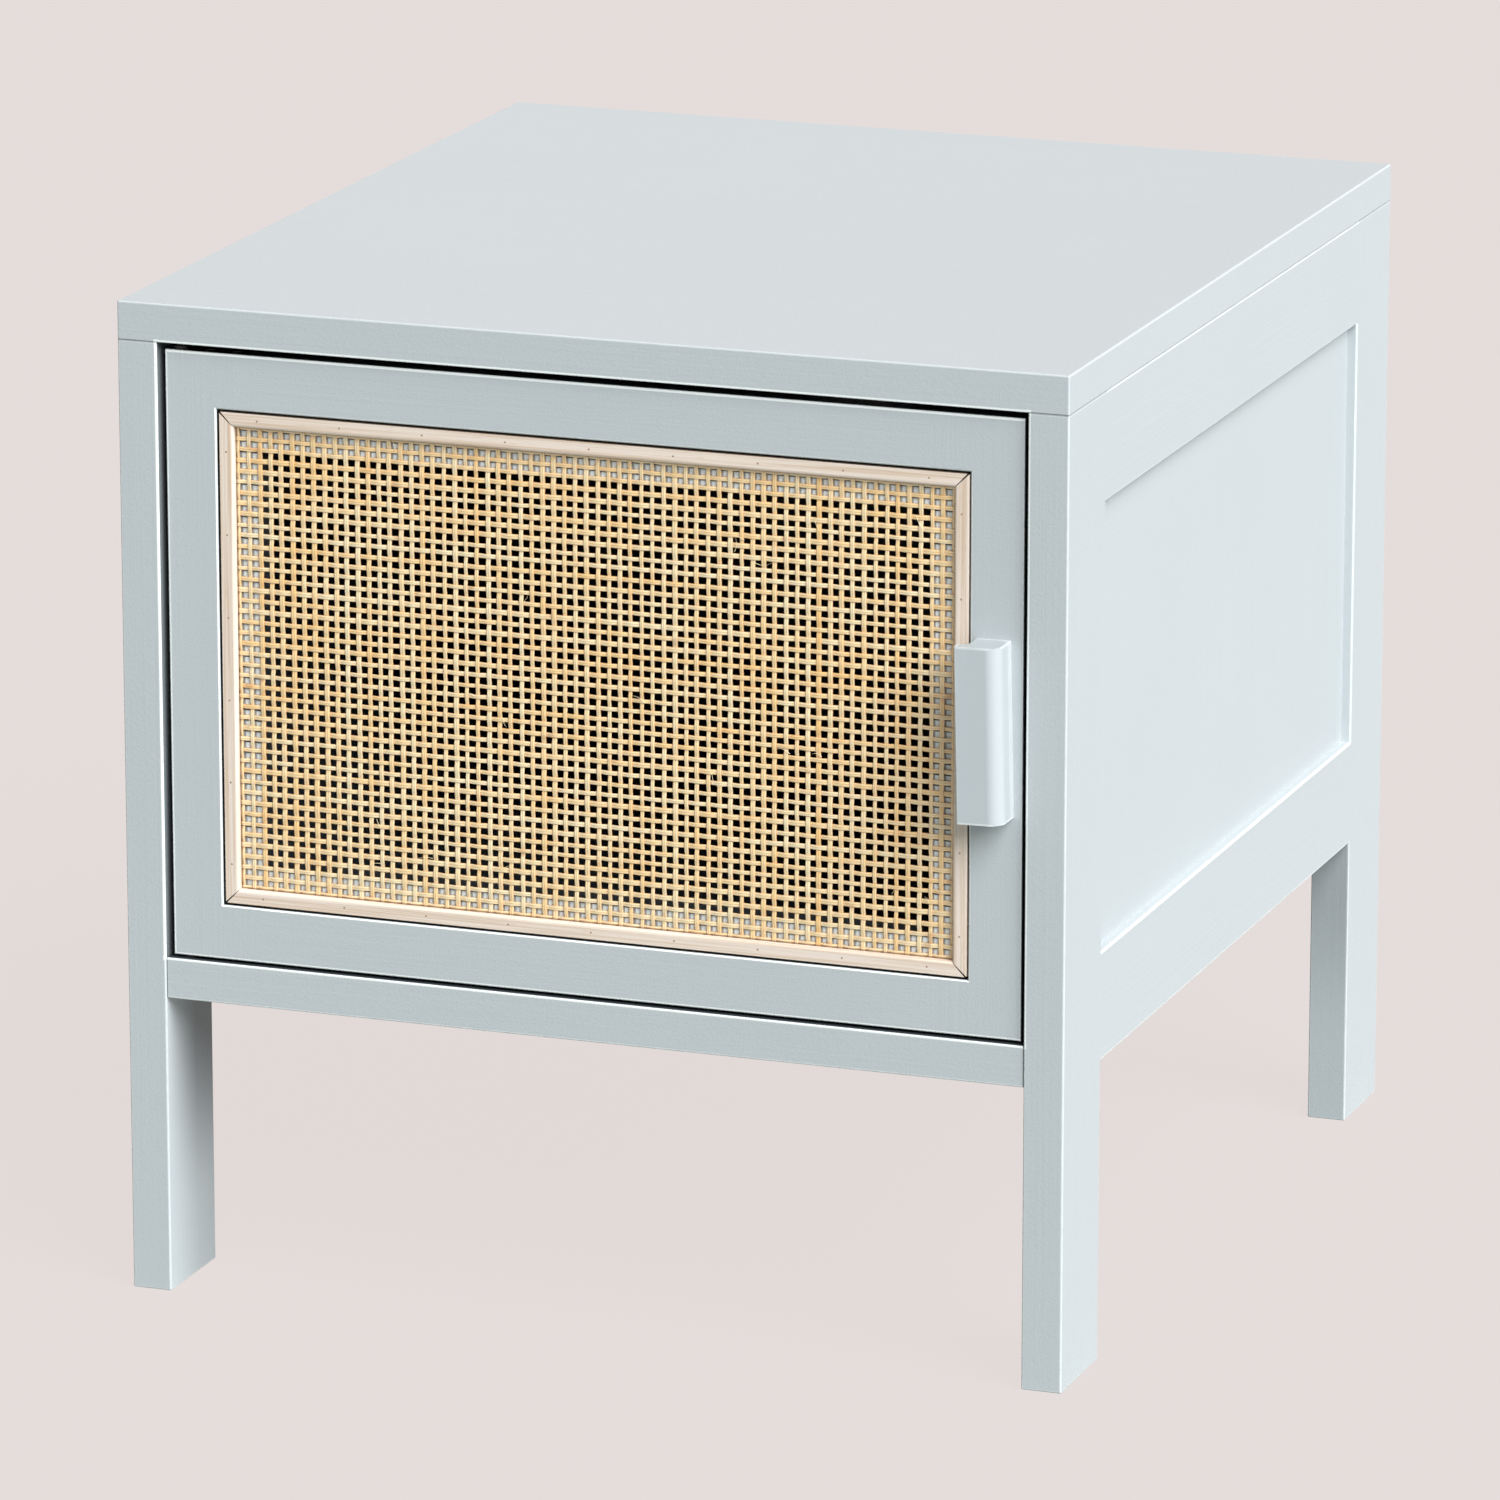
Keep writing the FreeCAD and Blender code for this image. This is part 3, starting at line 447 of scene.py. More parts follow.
def peel_group():
    """Split cane: a glossy peel with a groove along its middle, ripe patches, dark edges and fine fibres.
    Across is -1 to 1 over a strand's width, Depth is 1 at the weave's back, Border is the beads' distance."""
    group, w, given, out = new_group(
        "Cane peel", {"Vector": ("Vector", "Fibres"), "Color": ("Pale", "Warm", "Seam"),
                      "Float": ("Across", "Tone", "Depth", "Border")}, FINISH)
    place = given["Vector"]
    fibre = w.streaks(place, given["Fibres"], 3.0, 0.65)
    patch = w.noise(place, 60.0, 2.0)
    blush = w.noise(place, 9.0, 1.0)
    warmth = w.plus(w.plus(given["Tone"], w.swing(patch, 0.9)), w.swing(blush, 0.25))
    warmth = w.math("ADD", warmth, w.swing(fibre, 1.8), clamp=True)
    colour = w.mix(warmth, given["Pale"], given["Warm"])
    side = w.size(given["Across"])
    groove, rim = w.ramp(side, 0.26, 0.0), w.ramp(side, 0.74, 1.0)
    lines = w.most(w.times(groove, 0.45), w.times(rim, 0.65))
    # Painted shade, darker deeper in the weave
    lines = w.most(lines, w.ramp(given["Depth"], 0.30, 0.85, 0.0, 0.6))
    colour = w.mix(lines, colour, given["Seam"])
    # Painted shadow of the beads on the cane along its border
    colour = w.mix(w.ramp(given["Border"], 1.1 * MM, 0.2 * MM, 0.0, 0.85), colour, srgb(112, 66, 32))
    stain = w.ramp(w.noise(place, 90.0, 2.0), 0.66, 0.76, 0.0, 0.45)
    w.feed(out["Colour"], w.mix(stain, colour, srgb(196, 128, 66)))
    w.feed(out["Roughness"], w.ramp(fibre, 0.2, 0.8, 0.34, 0.56))
    w.feed(out["Height"], w.minus(fibre, w.times(groove, 0.5)))
    return group


def metal_group():
    """Plated or cast metal: fine scratches, dull patches and a slightly uneven colour."""
    group, w, given, out = new_group(
        "Metal finish",
        {"Vector": ("Vector",), "Color": ("Colour",), "Float": ("Roughness", "Grain")}, FINISH)
    place = given["Vector"]
    scratches = w.streaks(place, (300.0, 5200.0, 5200.0), 2.0, 0.6)
    grains = w.noise(place, given["Grain"], 3.0)
    patches = w.noise(place, 160.0, 2.0)
    w.feed(out["Colour"], w.shaded(given["Colour"], w.plus(w.times(patches, 0.24), 0.88)))
    w.feed(out["Roughness"], w.plus(given["Roughness"], w.swing(patches, 0.24)))
    w.feed(out["Height"], w.plus(w.times(scratches, 0.4), w.times(grains, 0.6)))
    return group


GROUP_MAKERS = {"paint": paint_film_group, "arris": arris_group, "gap": gap_group, "grain": grain_group,
                "peel": peel_group, "metal": metal_group}
groups = {}


def shared(kind):
    """The node group of that kind, made the first time it is asked for."""
    if kind not in groups:
        groups[kind] = GROUP_MAKERS[kind]()
    return groups[kind]


# ---- Materials ----
class Coat:
    """Satin paint over a grain that runs along one axis, and the marks that go on top of it, painted
    highlights and shade among them.
    """

    def __init__(self, name, colour, grain, settings, fine=FINE_GRAIN, film=0.12 * MM):
        self.settings = settings
        self.material, self.w, self.shader, self.place = new_material(name)
        stretch = [fine] * 3
        stretch["XYZ".index(grain)] = 5.0
        made = self.w.group("paint", Vector=self.place, Stretch=stretch, Colour=colour,
                            Roughness=settings.roughness)
        dress(self.w, self.shader, made, film)

    def along(self, axis):
        return self.w.parts(self.place)[axis]

    def over(self, mask, colour):
        paint_over(self.w, self.shader, mask, colour)

    def arrises(self, corners, low_apart=NONE, high_apart=NONE, amount=1.0, wide=1.0, until=1.0, place=None):
        """Paints a highlight, and wear from sanding, along a box's edges until a level of Y."""
        w, place = self.w, self.place if place is None else place
        edge = w.group("arris", Vector=place, Low=corners[0], High=corners[1],
                       Width=self.settings.arris * wide,
                       **{"Low apart": low_apart, "High apart": high_apart})["Mask"]
        highlight_and_wear = w.times(edge, w.ramp(w.noise(place, 120.0, 2.0), 0.30, 0.62, 0.7 * amount, amount))
        highlight_and_wear = w.times(highlight_and_wear, w.math("LESS_THAN", w.parts(place)["Y"], until))
        self.over(highlight_and_wear, self.settings.edge)

    def gap(self, corners, width, start=None, colour=None):
        """Paints a highlight around a box's front edge, and shade on its faces from a depth on."""
        start = self.settings.gap_shade_from if start is None else start
        made = self.w.group("gap", Vector=self.place, Low=corners[0], High=corners[1], From=start,
                            Width=width)
        self.over(made["Rim"], self.settings.edge)
        self.over(made["Inside"], self.settings.gap if colour is None else colour)

    def room_shade(self):
        """Paints shade on the faces that look into the cabinet, behind the door."""
        box = inner_box(ROOM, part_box(DOOR[0])[1].y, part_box("back_panel")[0].y)
        x, y, z = self.w.depth_in(self.place, *box)
        self.over(self.w.reach(self.w.least(self.w.least(x, y), z), SLACK), self.settings.room_shade)

    def seam(self, axis, level, amount):
        """Darkens the joint at a level of one axis, with painted shade, less on the faces to the sides, which
        the light fills.
        """
        w = self.w
        share = w.times(w.ramp(w.facing()["X"], 0.3, 0.9, 1.0, 0.2), amount)
        line = w.ramp(w.apart(self.along(axis), level), SEAM_EDGE, SEAM_CORE)
        self.over(w.times(line, share), self.settings.gap)


def raw_wood(name, pale, streak, turn=NONE, flecks=0.5):
    """Unfinished wood. turn brings the grain's direction onto X."""
    material, w, shader, place = new_material(name)
    turned = w.add("Mapping", {"Vector": place, "Rotation": turn}).outputs["Vector"]
    made = w.group("grain", Vector=turned, Pale=pale, Streak=streak, Flecks=flecks)
    dress(w, shader, made, 0.05 * MM)
    return material, w, shader, place


def cane(name, fibres, settings):
    """Cane peel. fibres is small along the strand and large across it, per metre."""
    material, w, shader, place = new_material(name)
    across = w.add("Attribute", attribute_name="across").outputs["Fac"]
    tone = w.add("Attribute", attribute_name="tone").outputs["Fac"]
    low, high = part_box("cane_panel")
    depth = w.math("DIVIDE", w.minus(w.parts(place)["Y"], low.y), high.y - low.y)
    x, _, z = w.depth_in(place, *inner_box(BEADS, low.y, high.y))
    made = w.group("peel", Vector=place, Fibres=fibres, Across=across, Tone=tone, Depth=depth,
                   Border=w.least(x, z), Pale=settings.pale, Warm=settings.warm, Seam=settings.seam)
    dress(w, shader, made, 0.08 * MM)
    w.feed(shader.inputs["Specular IOR Level"], 0.75)
    w.feed(shader.inputs["Coat Weight"], 1.0)
    w.feed(shader.inputs["Coat Roughness"], 0.2)
    return material


def metal(name, colour, roughness, grain, relief):
    material, w, shader, place = new_material(name)
    dress(w, shader, w.group("metal", Vector=place, Colour=colour, Roughness=roughness, Grain=grain),
          relief)
    w.feed(shader.inputs["Metallic"], 1.0)
    return material


def moulded(name, colour, roughness, relief):
    """Moulded plastic or pressed ferrite with a fine eroded skin."""
    material, w, shader, place = new_material(name)
    skin = w.noise(place, 1600.0, 3.0)
    made = {"Colour": w.shaded(colour, w.ramp(w.noise(place, 70.0, 2.0), 0.2, 0.8, 0.94, 1.03)),
            "Roughness": w.ramp(skin, 0.2, 0.8, roughness - 0.08, roughness + 0.10), "Height": skin}
    dress(w, shader, made, relief)
    return material


def finish(material, nodes):
    """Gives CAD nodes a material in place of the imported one."""
    for name in nodes:
        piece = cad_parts[name]
        piece.data.materials.clear()
        piece.data.materials.append(material)


# ---- Modelling by hand ----
def enter(mode):
    bpy.ops.object.mode_set(mode=mode)


def deselect():
    if bpy.context.object and bpy.context.object.mode != "OBJECT":
        enter("OBJECT")
    bpy.ops.object.select_all(action="DESELECT")


def pick(*pieces):
    """Makes the pieces the only selected ones, and the first of them the active one."""
    deselect()
    for piece in pieces:
        piece.select_set(True)
    bpy.context.view_layer.objects.active = pieces[0]


def mark(piece, kind, test):
    """In edit mode, selects the verts or faces (kind) whose middle and normal pass the test."""
    bpy.ops.mesh.select_mode(type="FACE" if kind == "faces" else "VERT")
    bpy.ops.mesh.select_all(action="DESELECT")
    mesh = bmesh.from_edit_mesh(piece.data)
    if kind == "faces":
        chosen = [f for f in mesh.faces if test(f.calc_center_median(), f.normal)]
    else:
        chosen = [v for v in mesh.verts if test(v.co, v.normal)]
    for item in chosen:
        item.select_set(True)
    mesh.select_flush_mode()
    bmesh.update_edit_mesh(piece.data)


def cut(plane, normal, **trim):
    """Cuts all that is selected by a plane."""
    bpy.ops.mesh.bisect(plane_co=plane, plane_no=normal, **trim)


def cut_whole(plane, normal, **trim):
    """Cuts the whole mesh by a plane."""
    bpy.ops.mesh.select_all(action="SELECT")
    cut(plane, normal, **trim)


def near(value, target):
    return abs(value - target) < 0.01 * MM


def settle(*pieces):
    """Puts each piece's place, turn and size into its mesh."""
    pick(*pieces)
    bpy.ops.object.transform_apply(location=True, rotation=True, scale=True)


def modify(piece, kind, **settings):
    """Changes the piece by one modifier of that kind."""
    modifier = piece.modifiers.new(kind, kind)
    for name, value in settings.items():
        setattr(modifier, name, value)
    pick(piece)
    bpy.ops.object.modifier_apply(modifier=modifier.name)


def add_attribute(piece, name, values):
    attribute = piece.data.attributes.new(name, "FLOAT", "POINT")
    attribute.data.foreach_set("value", values)


def joined(pieces, name):
    pick(*pieces)
    bpy.ops.object.join()
    pieces[0].name = pieces[0].data.name = name
    return pieces[0]


# ---- Cane ----
WAVE_STEPS = 8  # cross-sections in one wave of a strand
RIDGE_AT = 0.5  # ridges either side of the groove, as a share of the half width
EDGE_DROP, GROOVE_DROP = 0.5, 0.28  # how far both lie below the ridges, as shares of the thickness
OFF_PLACE = 0.6  # how far a strand is laid off its place at most, as a share of its wander
THINNEST, WIDEST = 0.84, 1.16  # a strand's width, as a share of the usual
TONE, TONE_SPREAD = 0.39, 0.15  # how ripe the strands are
WANDER_GRAIN = 14 * MM  # size of the curves in which a strand wanders
FIBRE_INSET = 9 * MM  # how far from the sheet's edges the loose fibres start
FIBRE_CUTS = (0.25, 0.5, 0.75)  # where a loose fibre bends, as shares of its length
FINE, LONG = 2400.0, 40.0  # noise across and along the cane's fibres, per metre


def strand_wave(pitch, settings):
    """One wave of a strand, two crossings long, along X from 0, facing -Y and on the front at both ends."""
    width, thick = settings.width, settings.thickness
    wave, half = 2 * pitch, width / 2
    deselect()
    bpy.ops.mesh.primitive_cube_add(size=1, location=(pitch, 0, 0), scale=(wave, thick, width))
    strand = bpy.context.object
    settle(strand)
    enter("EDIT")
    mark(strand, "faces", lambda at, normal: abs(normal.x) > 0.9)
    bpy.ops.mesh.delete(type="ONLY_FACE")
    for step in range(1, WAVE_STEPS):
        cut_whole((wave * step / WAVE_STEPS, 0, 0), (1, 0, 0))
    for at_z in (-RIDGE_AT * half, 0, RIDGE_AT * half):
        mark(strand, "faces", lambda at, normal: normal.y < -0.9)
        cut((0, 0, at_z), (0, 0, 1))
    front = -thick / 2
    mark(strand, "verts", lambda at, normal: near(at.y, front) and near(abs(at.z), half))
    bpy.ops.transform.translate(value=(0, EDGE_DROP * thick, 0))
    mark(strand, "verts", lambda at, normal: near(at.y, front) and near(at.z, 0))
    bpy.ops.transform.translate(value=(0, GROOVE_DROP * thick, 0))
    for step in range(WAVE_STEPS + 1):
        place = wave * step / WAVE_STEPS
        mark(strand, "verts", lambda at, normal: near(at.x, place))
        swing = -settings.swing * math.cos(math.pi * place / pitch)
        bpy.ops.transform.translate(value=(0, swing, 0))
    enter("OBJECT")
    add_attribute(strand, "across", [v.co.z / half for v in strand.data.vertices])
    return strand


def strand(length, pitch, over_first, settings):
    """A strand of that length along X from 0, with its ends closed. Its first crossing is half a pitch in."""
    piece = strand_wave(pitch, settings)
    modify(piece, "ARRAY", count=math.ceil(length / (2 * pitch)) + 2, use_relative_offset=False,
           use_constant_offset=True, constant_offset_displace=(2 * pitch, 0, 0), use_merge_vertices=True,
           merge_threshold=0.01 * MM)
    piece.location.x = (0.5 if over_first else -0.5) * pitch - 2 * pitch
    settle(piece)
    enter("EDIT")
    cut_whole((0, 0, 0), (1, 0, 0), use_fill=True, clear_inner=True)
    cut_whole((length, 0, 0), (1, 0, 0), use_fill=True, clear_outer=True)
    enter("OBJECT")
    return piece


def lay_strands(name, masters, count, pitch, place, settings, rng):
    """Copies of the two masters side by side, each a little off its place, and joined into one piece."""
    copies = []
    for i in range(count):
        copy = masters[i % 2].copy()
        copy.data = masters[i % 2].data.copy()
        bpy.context.collection.objects.link(copy)
        place(copy, (i + 0.5) * pitch + rng.uniform(-1, 1) * settings.wander * OFF_PLACE)
        copy.scale.z = rng.uniform(THINNEST, WIDEST)
        tone = min(max(rng.gauss(TONE, TONE_SPREAD), 0.0), 1.0)
        add_attribute(copy, "tone", [tone] * len(copy.data.vertices))
        copies.append(copy)
    settle(*copies)
    for master in masters:
        bpy.data.objects.remove(master)
    return joined(copies, name)


def stray(piece, direction, amount):
    """Lets the strands wander sideways in slow curves."""
    clouds = bpy.data.textures.new(piece.name + " wander", "CLOUDS")
    clouds.noise_scale = WANDER_GRAIN
    modify(piece, "DISPLACE", texture=clouds, direction=direction, strength=amount, mid_level=0.5)


def loose_fibres(low, high, front, count, rng):
    """Slivers of peel that stand off the weave: thin spikes, bent along their length."""
    pieces = []
    for _ in range(count):
        length = rng.uniform(3.5, 9.0) * MM
        deselect()
        bpy.ops.mesh.primitive_cone_add(vertices=4, radius1=0.13 * MM, radius2=0.03 * MM, depth=length)
        piece = bpy.context.object
        enter("EDIT")
        for share in FIBRE_CUTS:
            cut_whole((0, 0, length * (share - 0.5)), (0, 0, 1))
        bow = rng.uniform(0.05, 0.22) * length
        for share in FIBRE_CUTS:
            level = length * (share - 0.5)
            mark(piece, "verts", lambda at, normal: near(at.z, level))
            bpy.ops.transform.translate(value=(bow * math.sin(math.pi * share), 0, 0))
        enter("OBJECT")
        piece.rotation_euler = (rng.uniform(-0.10, 0.10), rng.uniform(0, 2 * math.pi), 0)
        piece.location = (rng.uniform(low.x, high.x), front - 0.15 * MM, rng.uniform(low.z, high.z))
        settle(piece)
        add_attribute(piece, "across", [0.5] * len(piece.data.vertices))
        add_attribute(piece, "tone", [0.0] * len(piece.data.vertices))
        pieces.append(piece)
    return joined(pieces, "cane_fibres")


# ---- Operators ----
class SIDETABLE_OT_paint_boards(bpy.types.Operator):
    """Paint the cabinet's boards, the door's frame and the back panel"""
    bl_idname = "side_table.paint_boards"
    bl_label = "Paint the Boards"

    def execute(self, context):
        settings = context.scene.side_table.paint
        opening = inner_box(DOORWAY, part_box(DOORWAY[0])[0].y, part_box(DOOR[0])[1].y)
        for name in ("top_board", "bottom_board"):
            self.paint_board(name, opening, settings)
        for name in SIDE_STILES:
            self.paint_side_stile(name, opening, settings)
        for name in SIDE_RAILS:
            coat = Coat("paint_" + name, settings.body, "Y", settings)
            # Painted highlights on the arrises, painted shade inside the cabinet and in the top rails' joints
            coat.arrises(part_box(name), ALONG_Y, ALONG_Y, amount=HIGHLIGHT_WEAR_RAIL)
            coat.room_shade()
            if "top" in name:
                coat.seam("Z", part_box(name)[1].z, SEAM_TOP)
            finish(coat.material, (name,))
        for name in DOOR:
            self.paint_door_member(name, settings, context.scene.side_table.cane)
        for name, colour, fine, nodes in (("paint_panels", settings.body, FINE_GRAIN, SIDE_PANELS),
                                          ("paint_back", settings.back, COARSE_GRAIN, ("back_panel",))):
            coat = Coat(name, colour, "Z", settings, fine)
            coat.room_shade()
            finish(coat.material, nodes)
        return {"FINISHED"}

    def paint_board(self, name, opening, settings):
        """The top board's lower edges meet the side frames, and so do the bottom board's ends."""
        coat = Coat("paint_" + name, settings.body, "X", settings)
        low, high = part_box(name)
        # Painted highlights on the arrises and the opening's rim, painted shade in the gap and the joints
        if name == "top_board":
            coat.arrises((low, high), low_apart=ALONG_Z, amount=HIGHLIGHT_WEAR_TOP)
            coat.gap(opening, settings.rim)
            over_stile = coat.w.math("GREATER_THAN", coat.w.size(coat.along("X")), opening[1].x)
            coat.seam("Z", low.z, coat.w.times(over_stile, SEAM_TOP))
        else:
            coat.arrises((low, high), ALONG_X, ALONG_X, amount=HIGHLIGHT_WEAR_FLOOR)
            coat.gap(opening, settings.rim)
            for end in (low.x, high.x):
                coat.seam("X", end, SEAM_FLOOR)
        coat.room_shade()
        finish(coat.material, (name,))

    def paint_side_stile(self, name, opening, settings):
        """The stile's inner side is glued to the rails, and only there has no arris."""
        coat = Coat("paint_" + name, settings.body, "Z", settings)
        glued = self.between(coat, ("rail_top_right", "rail_bottom_right"))
        apart = coat.w.add("CombineXYZ", {"Y": glued}).outputs["Vector"]
        side = "high_apart" if "front" in name else "low_apart"
        # Painted highlights on the arrises and the opening's rim, painted shade in the gap, lighter beside
        # the left stile
        coat.arrises(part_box(name), amount=HIGHLIGHT_WEAR_STILE, **{side: apart})
        if "front" in name:
            coat.gap(opening, settings.rim, colour=settings.lit_gap_shade if "left" in name else None)
        coat.seam("Z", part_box(name)[1].z, SEAM_TOP)
        coat.room_shade()
        self.paint_leg_shadows(coat, name)
        finish(coat.material, (name,))

    def paint_leg_shadows(self, coat, name):
        """Paints shadow on a leg's two inner faces up under the cabinet, darker near it and away from the
        outer face.
        """
        w, (low, high) = coat.w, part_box(name)
        inner_x = high.x if "left" in name else low.x
        inner_y, outer_y = (high.y, low.y) if "front" in name else (low.y, high.y)
        below = w.minus(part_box("bottom_board")[0].z, coat.along("Z"))
        amount = w.times(w.ramp(below, LEG_SHADOW_FROM, LEG_SHADOW_TO, 0.62, 0.22), w.math("GREATER_THAN", below, 0.0))
        far = w.math("DIVIDE", w.apart(coat.along("Y"), outer_y), LEG_SHADOW_ACROSS)
        side = w.times(w.on_face(coat.along("X"), inner_x), w.least(far, 1.2))
        back = w.times(w.on_face(coat.along("Y"), inner_y), 0.6)
        coat.over(w.times(w.most(side, back), amount), coat.settings.gap)

    def paint_door_member(self, name, settings, cane_settings):
        """The arrises of a member's visible face end at the window, where its rebated lip starts."""
        rail, latch = name in DOOR_RAILS, name == DOOR[1]
        coat = Coat("paint_" + name, settings.body, "X" if rail else "Z", settings)
        low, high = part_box(DOOR[0])[0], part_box(DOOR[1])[1]
        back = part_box("cane_panel")[1].y
        play = Vector((BEAD_PLAY, 0, BEAD_PLAY))
        window = outer_box(BEADS, low.y, high.y)
        window = (window[0] - play, window[1] + play)
        face = [Vector(corner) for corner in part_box(name)]
        if latch:
            face[0].x = window[1].x
        elif not rail:
            face[1].x = window[0].x
        elif name == DOOR_RAILS[0]:
            face[1].z = window[0].z
        else:
            face[0].z = window[1].z
        low_apart = high_apart = ALONG_X if rail else NONE
        rim = settings.rim
        if not rail:
            beside = self.between(coat, DOOR_RAILS, RAIL_LIP)
            apart = coat.w.add("CombineXYZ", {"X": beside}).outputs["Vector"]
            low_apart, high_apart = (apart, ALONG_X) if latch else (NONE, apart)
        # Painted highlights and painted shade at the door's gap, narrower on the latch side, and at its
        # window
        if latch:
            coat.gap((low, high + Vector(ALONG_X)), rim)
            rim *= 0.3
        coat.arrises(face, low_apart, high_apart, until=back + SLACK)
        coat.gap((low, high), rim)
        coat.gap(window, settings.window_rim, settings.window_shade_from)
        self.paint_strand_shadows(coat, cane_settings)
        # Painted shade on the members' faces inside the window, behind the cane
        low, high = inner_box(DOOR, back, high.y)
        behind = coat.w.group("gap", Vector=coat.place, Low=low, High=high, From=0.0, Width=SLACK)
        coat.over(behind["Inside"], settings.room_shade)
        finish(coat.material, (name,))

    def paint_strand_shadows(self, coat, cane_settings):
        """Painted shadow on the lip below each level strand of the cane, and a little beside each upright
        one.
        """
        w, (low, high) = coat.w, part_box("cane_panel")
        size = high - low
        x, y, z = w.parts(w.vector("SUBTRACT", coat.place, low))
        across = w.math("FRACT", w.math("DIVIDE", x, size.x / cane_settings.across))
        up = w.math("FRACT", w.math("DIVIDE", z, size.z / cane_settings.up))
        below = w.times(w.ramp(up, 0.08, 0.20), w.math("LESS_THAN", up, 0.5))
        beside = w.times(w.ramp(across, 0.88, 0.76, 0.0, 0.6), w.math("GREATER_THAN", across, 0.5))
        coat.over(w.times(w.most(below, beside), w.on_face(y, size.y)), coat.settings.shade)

    def between(self, coat, rails, less=0.0):
        """1 where the height is within one of the rails, each taken less by so much on its inner side."""
        w, inside = coat.w, 0.0
        middle = sum((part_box(rail)[0].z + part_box(rail)[1].z) / 2 for rail in rails) / len(rails)
        for rail in rails:
            low, high = (corner.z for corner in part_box(rail))
            low, high = (low, high - less) if high < middle else (low + less, high)
            off = w.apart(coat.along("Z"), (low + high) / 2)
            inside = w.plus(inside, w.math("LESS_THAN", off, (high - low) / 2))
        return inside


class SIDETABLE_OT_paint_pull(bpy.types.Operator):
    """Paint the pull"""
    bl_idname = "side_table.paint_pull"
    bl_label = "Paint the Pull"

    def execute(self, context):
        settings = context.scene.side_table.paint
        coat = Coat("paint_pull", settings.pull, "Z", settings, 90.0, 0.02 * MM)
        w = coat.w
        # Painted shade on the pull's top and bottom faces; painted highlight on its rounded faces and along
        # its arrises
        level = w.facing()["Z"]
        coat.over(w.ramp(level, 0.98, 0.995), settings.end)
        rounded_highlight = w.times(w.ramp(level, 0.06, 0.25), w.ramp(level, 0.99, 0.90))
        coat.over(w.times(rounded_highlight, 0.6), settings.edge)
        place, half = self.upright(coat)
        coat.arrises((-half, half), amount=0.5, wide=0.9, place=place)
        coat.arrises((-half, half), (1.0, 1.0, 1.0), ALONG_Z, amount=0.25, wide=5.0, place=place)
        finish(coat.material, ("door_pull",))
        return {"FINISHED"}

    def upright(self, coat):
        """The place within the pull once it is turned upright about its middle, and half the pull's size."""
        low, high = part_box("door_pull")
        size = high - low
        cosine, sine = math.cos(PULL_LEAN), math.sin(PULL_LEAN)
        half = Vector((size.x * cosine - size.z * sine, 0, size.z * cosine - size.x * sine))
        half *= 0.5 / (cosine ** 2 - sine ** 2)
        half.y = size.y / 2
        centred = coat.w.vector("SUBTRACT", coat.place, (low + high) / 2)
        turned = coat.w.add("Mapping", {"Vector": centred, "Rotation": (0, PULL_LEAN, 0)})
        return turned.outputs["Vector"], half


class SIDETABLE_OT_weave_cane(bpy.types.Operator):
    """Weave the door's cane panel, strand by strand"""
    bl_idname = "side_table.weave_cane"
    bl_label = "Weave the Cane"

    def execute(self, context):
        settings = context.scene.side_table.cane
        rng = random.Random(11)
        low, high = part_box("cane_panel")
        size, middle = high - low, low.y + settings.swing + settings.thickness / 2
        pitch_x, pitch_z = size.x / settings.across, size.z / settings.up

        def level(copy, offset):
            copy.location = (low.x, middle, low.z + offset)

        def upright(copy, offset):
            copy.rotation_euler = (0, -math.pi / 2, 0)
            copy.location = (low.x + offset, middle, low.z)

        weft = [strand(size.x, pitch_x, over, settings) for over in (True, False)]
        weft = lay_strands("cane_weft", weft, settings.up, pitch_z, level, settings, rng)
        warp = [strand(size.z, pitch_z, over, settings) for over in (False, True)]
        warp = lay_strands("cane_warp", warp, settings.across, pitch_x, upright, settings, rng)
        stray(weft, "Z", settings.wander)
        stray(warp, "X", settings.wander)
        inset = Vector((FIBRE_INSET, 0, FIBRE_INSET))
        fibres = loose_fibres(low + inset, high - inset, low.y, settings.fibres, rng)
        weft.data.materials.append(cane("cane_level", (LONG, FINE, FINE), settings))
        warp.data.materials.append(cane("cane_upright", (FINE, FINE, LONG), settings))
        fibres.data.materials.append(cane("cane_fibre", (FINE, FINE, FINE), settings))
        for piece in (weft, warp, fibres):
            pick(piece)
            bpy.ops.object.shade_smooth_by_angle(angle=math.radians(55))
            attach(piece, "door")
        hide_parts("cane_panel")
        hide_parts("cane_panel")
        return {"FINISHED"}


class SIDETABLE_OT_finish_beads(bpy.types.Operator):
    """Give the beads their raw wood, with the grain along each, and the pins their colour"""
    bl_idname = "side_table.finish_beads"
    bl_label = "Finish the Beads"

    def execute(self, context):
        settings = context.scene.side_table.bead
        for name, turn, nodes in (("bead_grain_x", 0, BEADS[2:]), ("bead_grain_z", math.pi / 2, BEADS[:2])):
            material, w, shader, place = raw_wood(name, settings.pale, settings.streak, (0, turn, 0))
            facing = w.facing()
            # Painted shade on the sawn ends in the mitres
            sawn = w.math("GREATER_THAN", w.least(facing["X"], facing["Z"]), 0.5)
            paint_over(w, shader, sawn, settings.mitre_shade)
            # Painted shade along the outer edges of the bottom, top and left beads
            below = w.minus(w.parts(place)["Z"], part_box("bead_bottom")[0].z)
            above = w.minus(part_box("bead_top")[1].z, w.parts(place)["Z"])
            beside = w.minus(w.parts(place)["X"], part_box("bead_left")[0].x)
            off = w.least(w.least(below, above), beside)
            paint_over(w, shader, w.ramp(off, MITRE_EDGE, MITRE_CORE), settings.mitre_shade)
            finish(material, nodes)
        pin = context.scene.side_table.fitting.pin
        finish(metal("pin_heads", pin, 0.55, 3000.0, 0.03 * MM), ("bead_pins",))
        return {"FINISHED"}


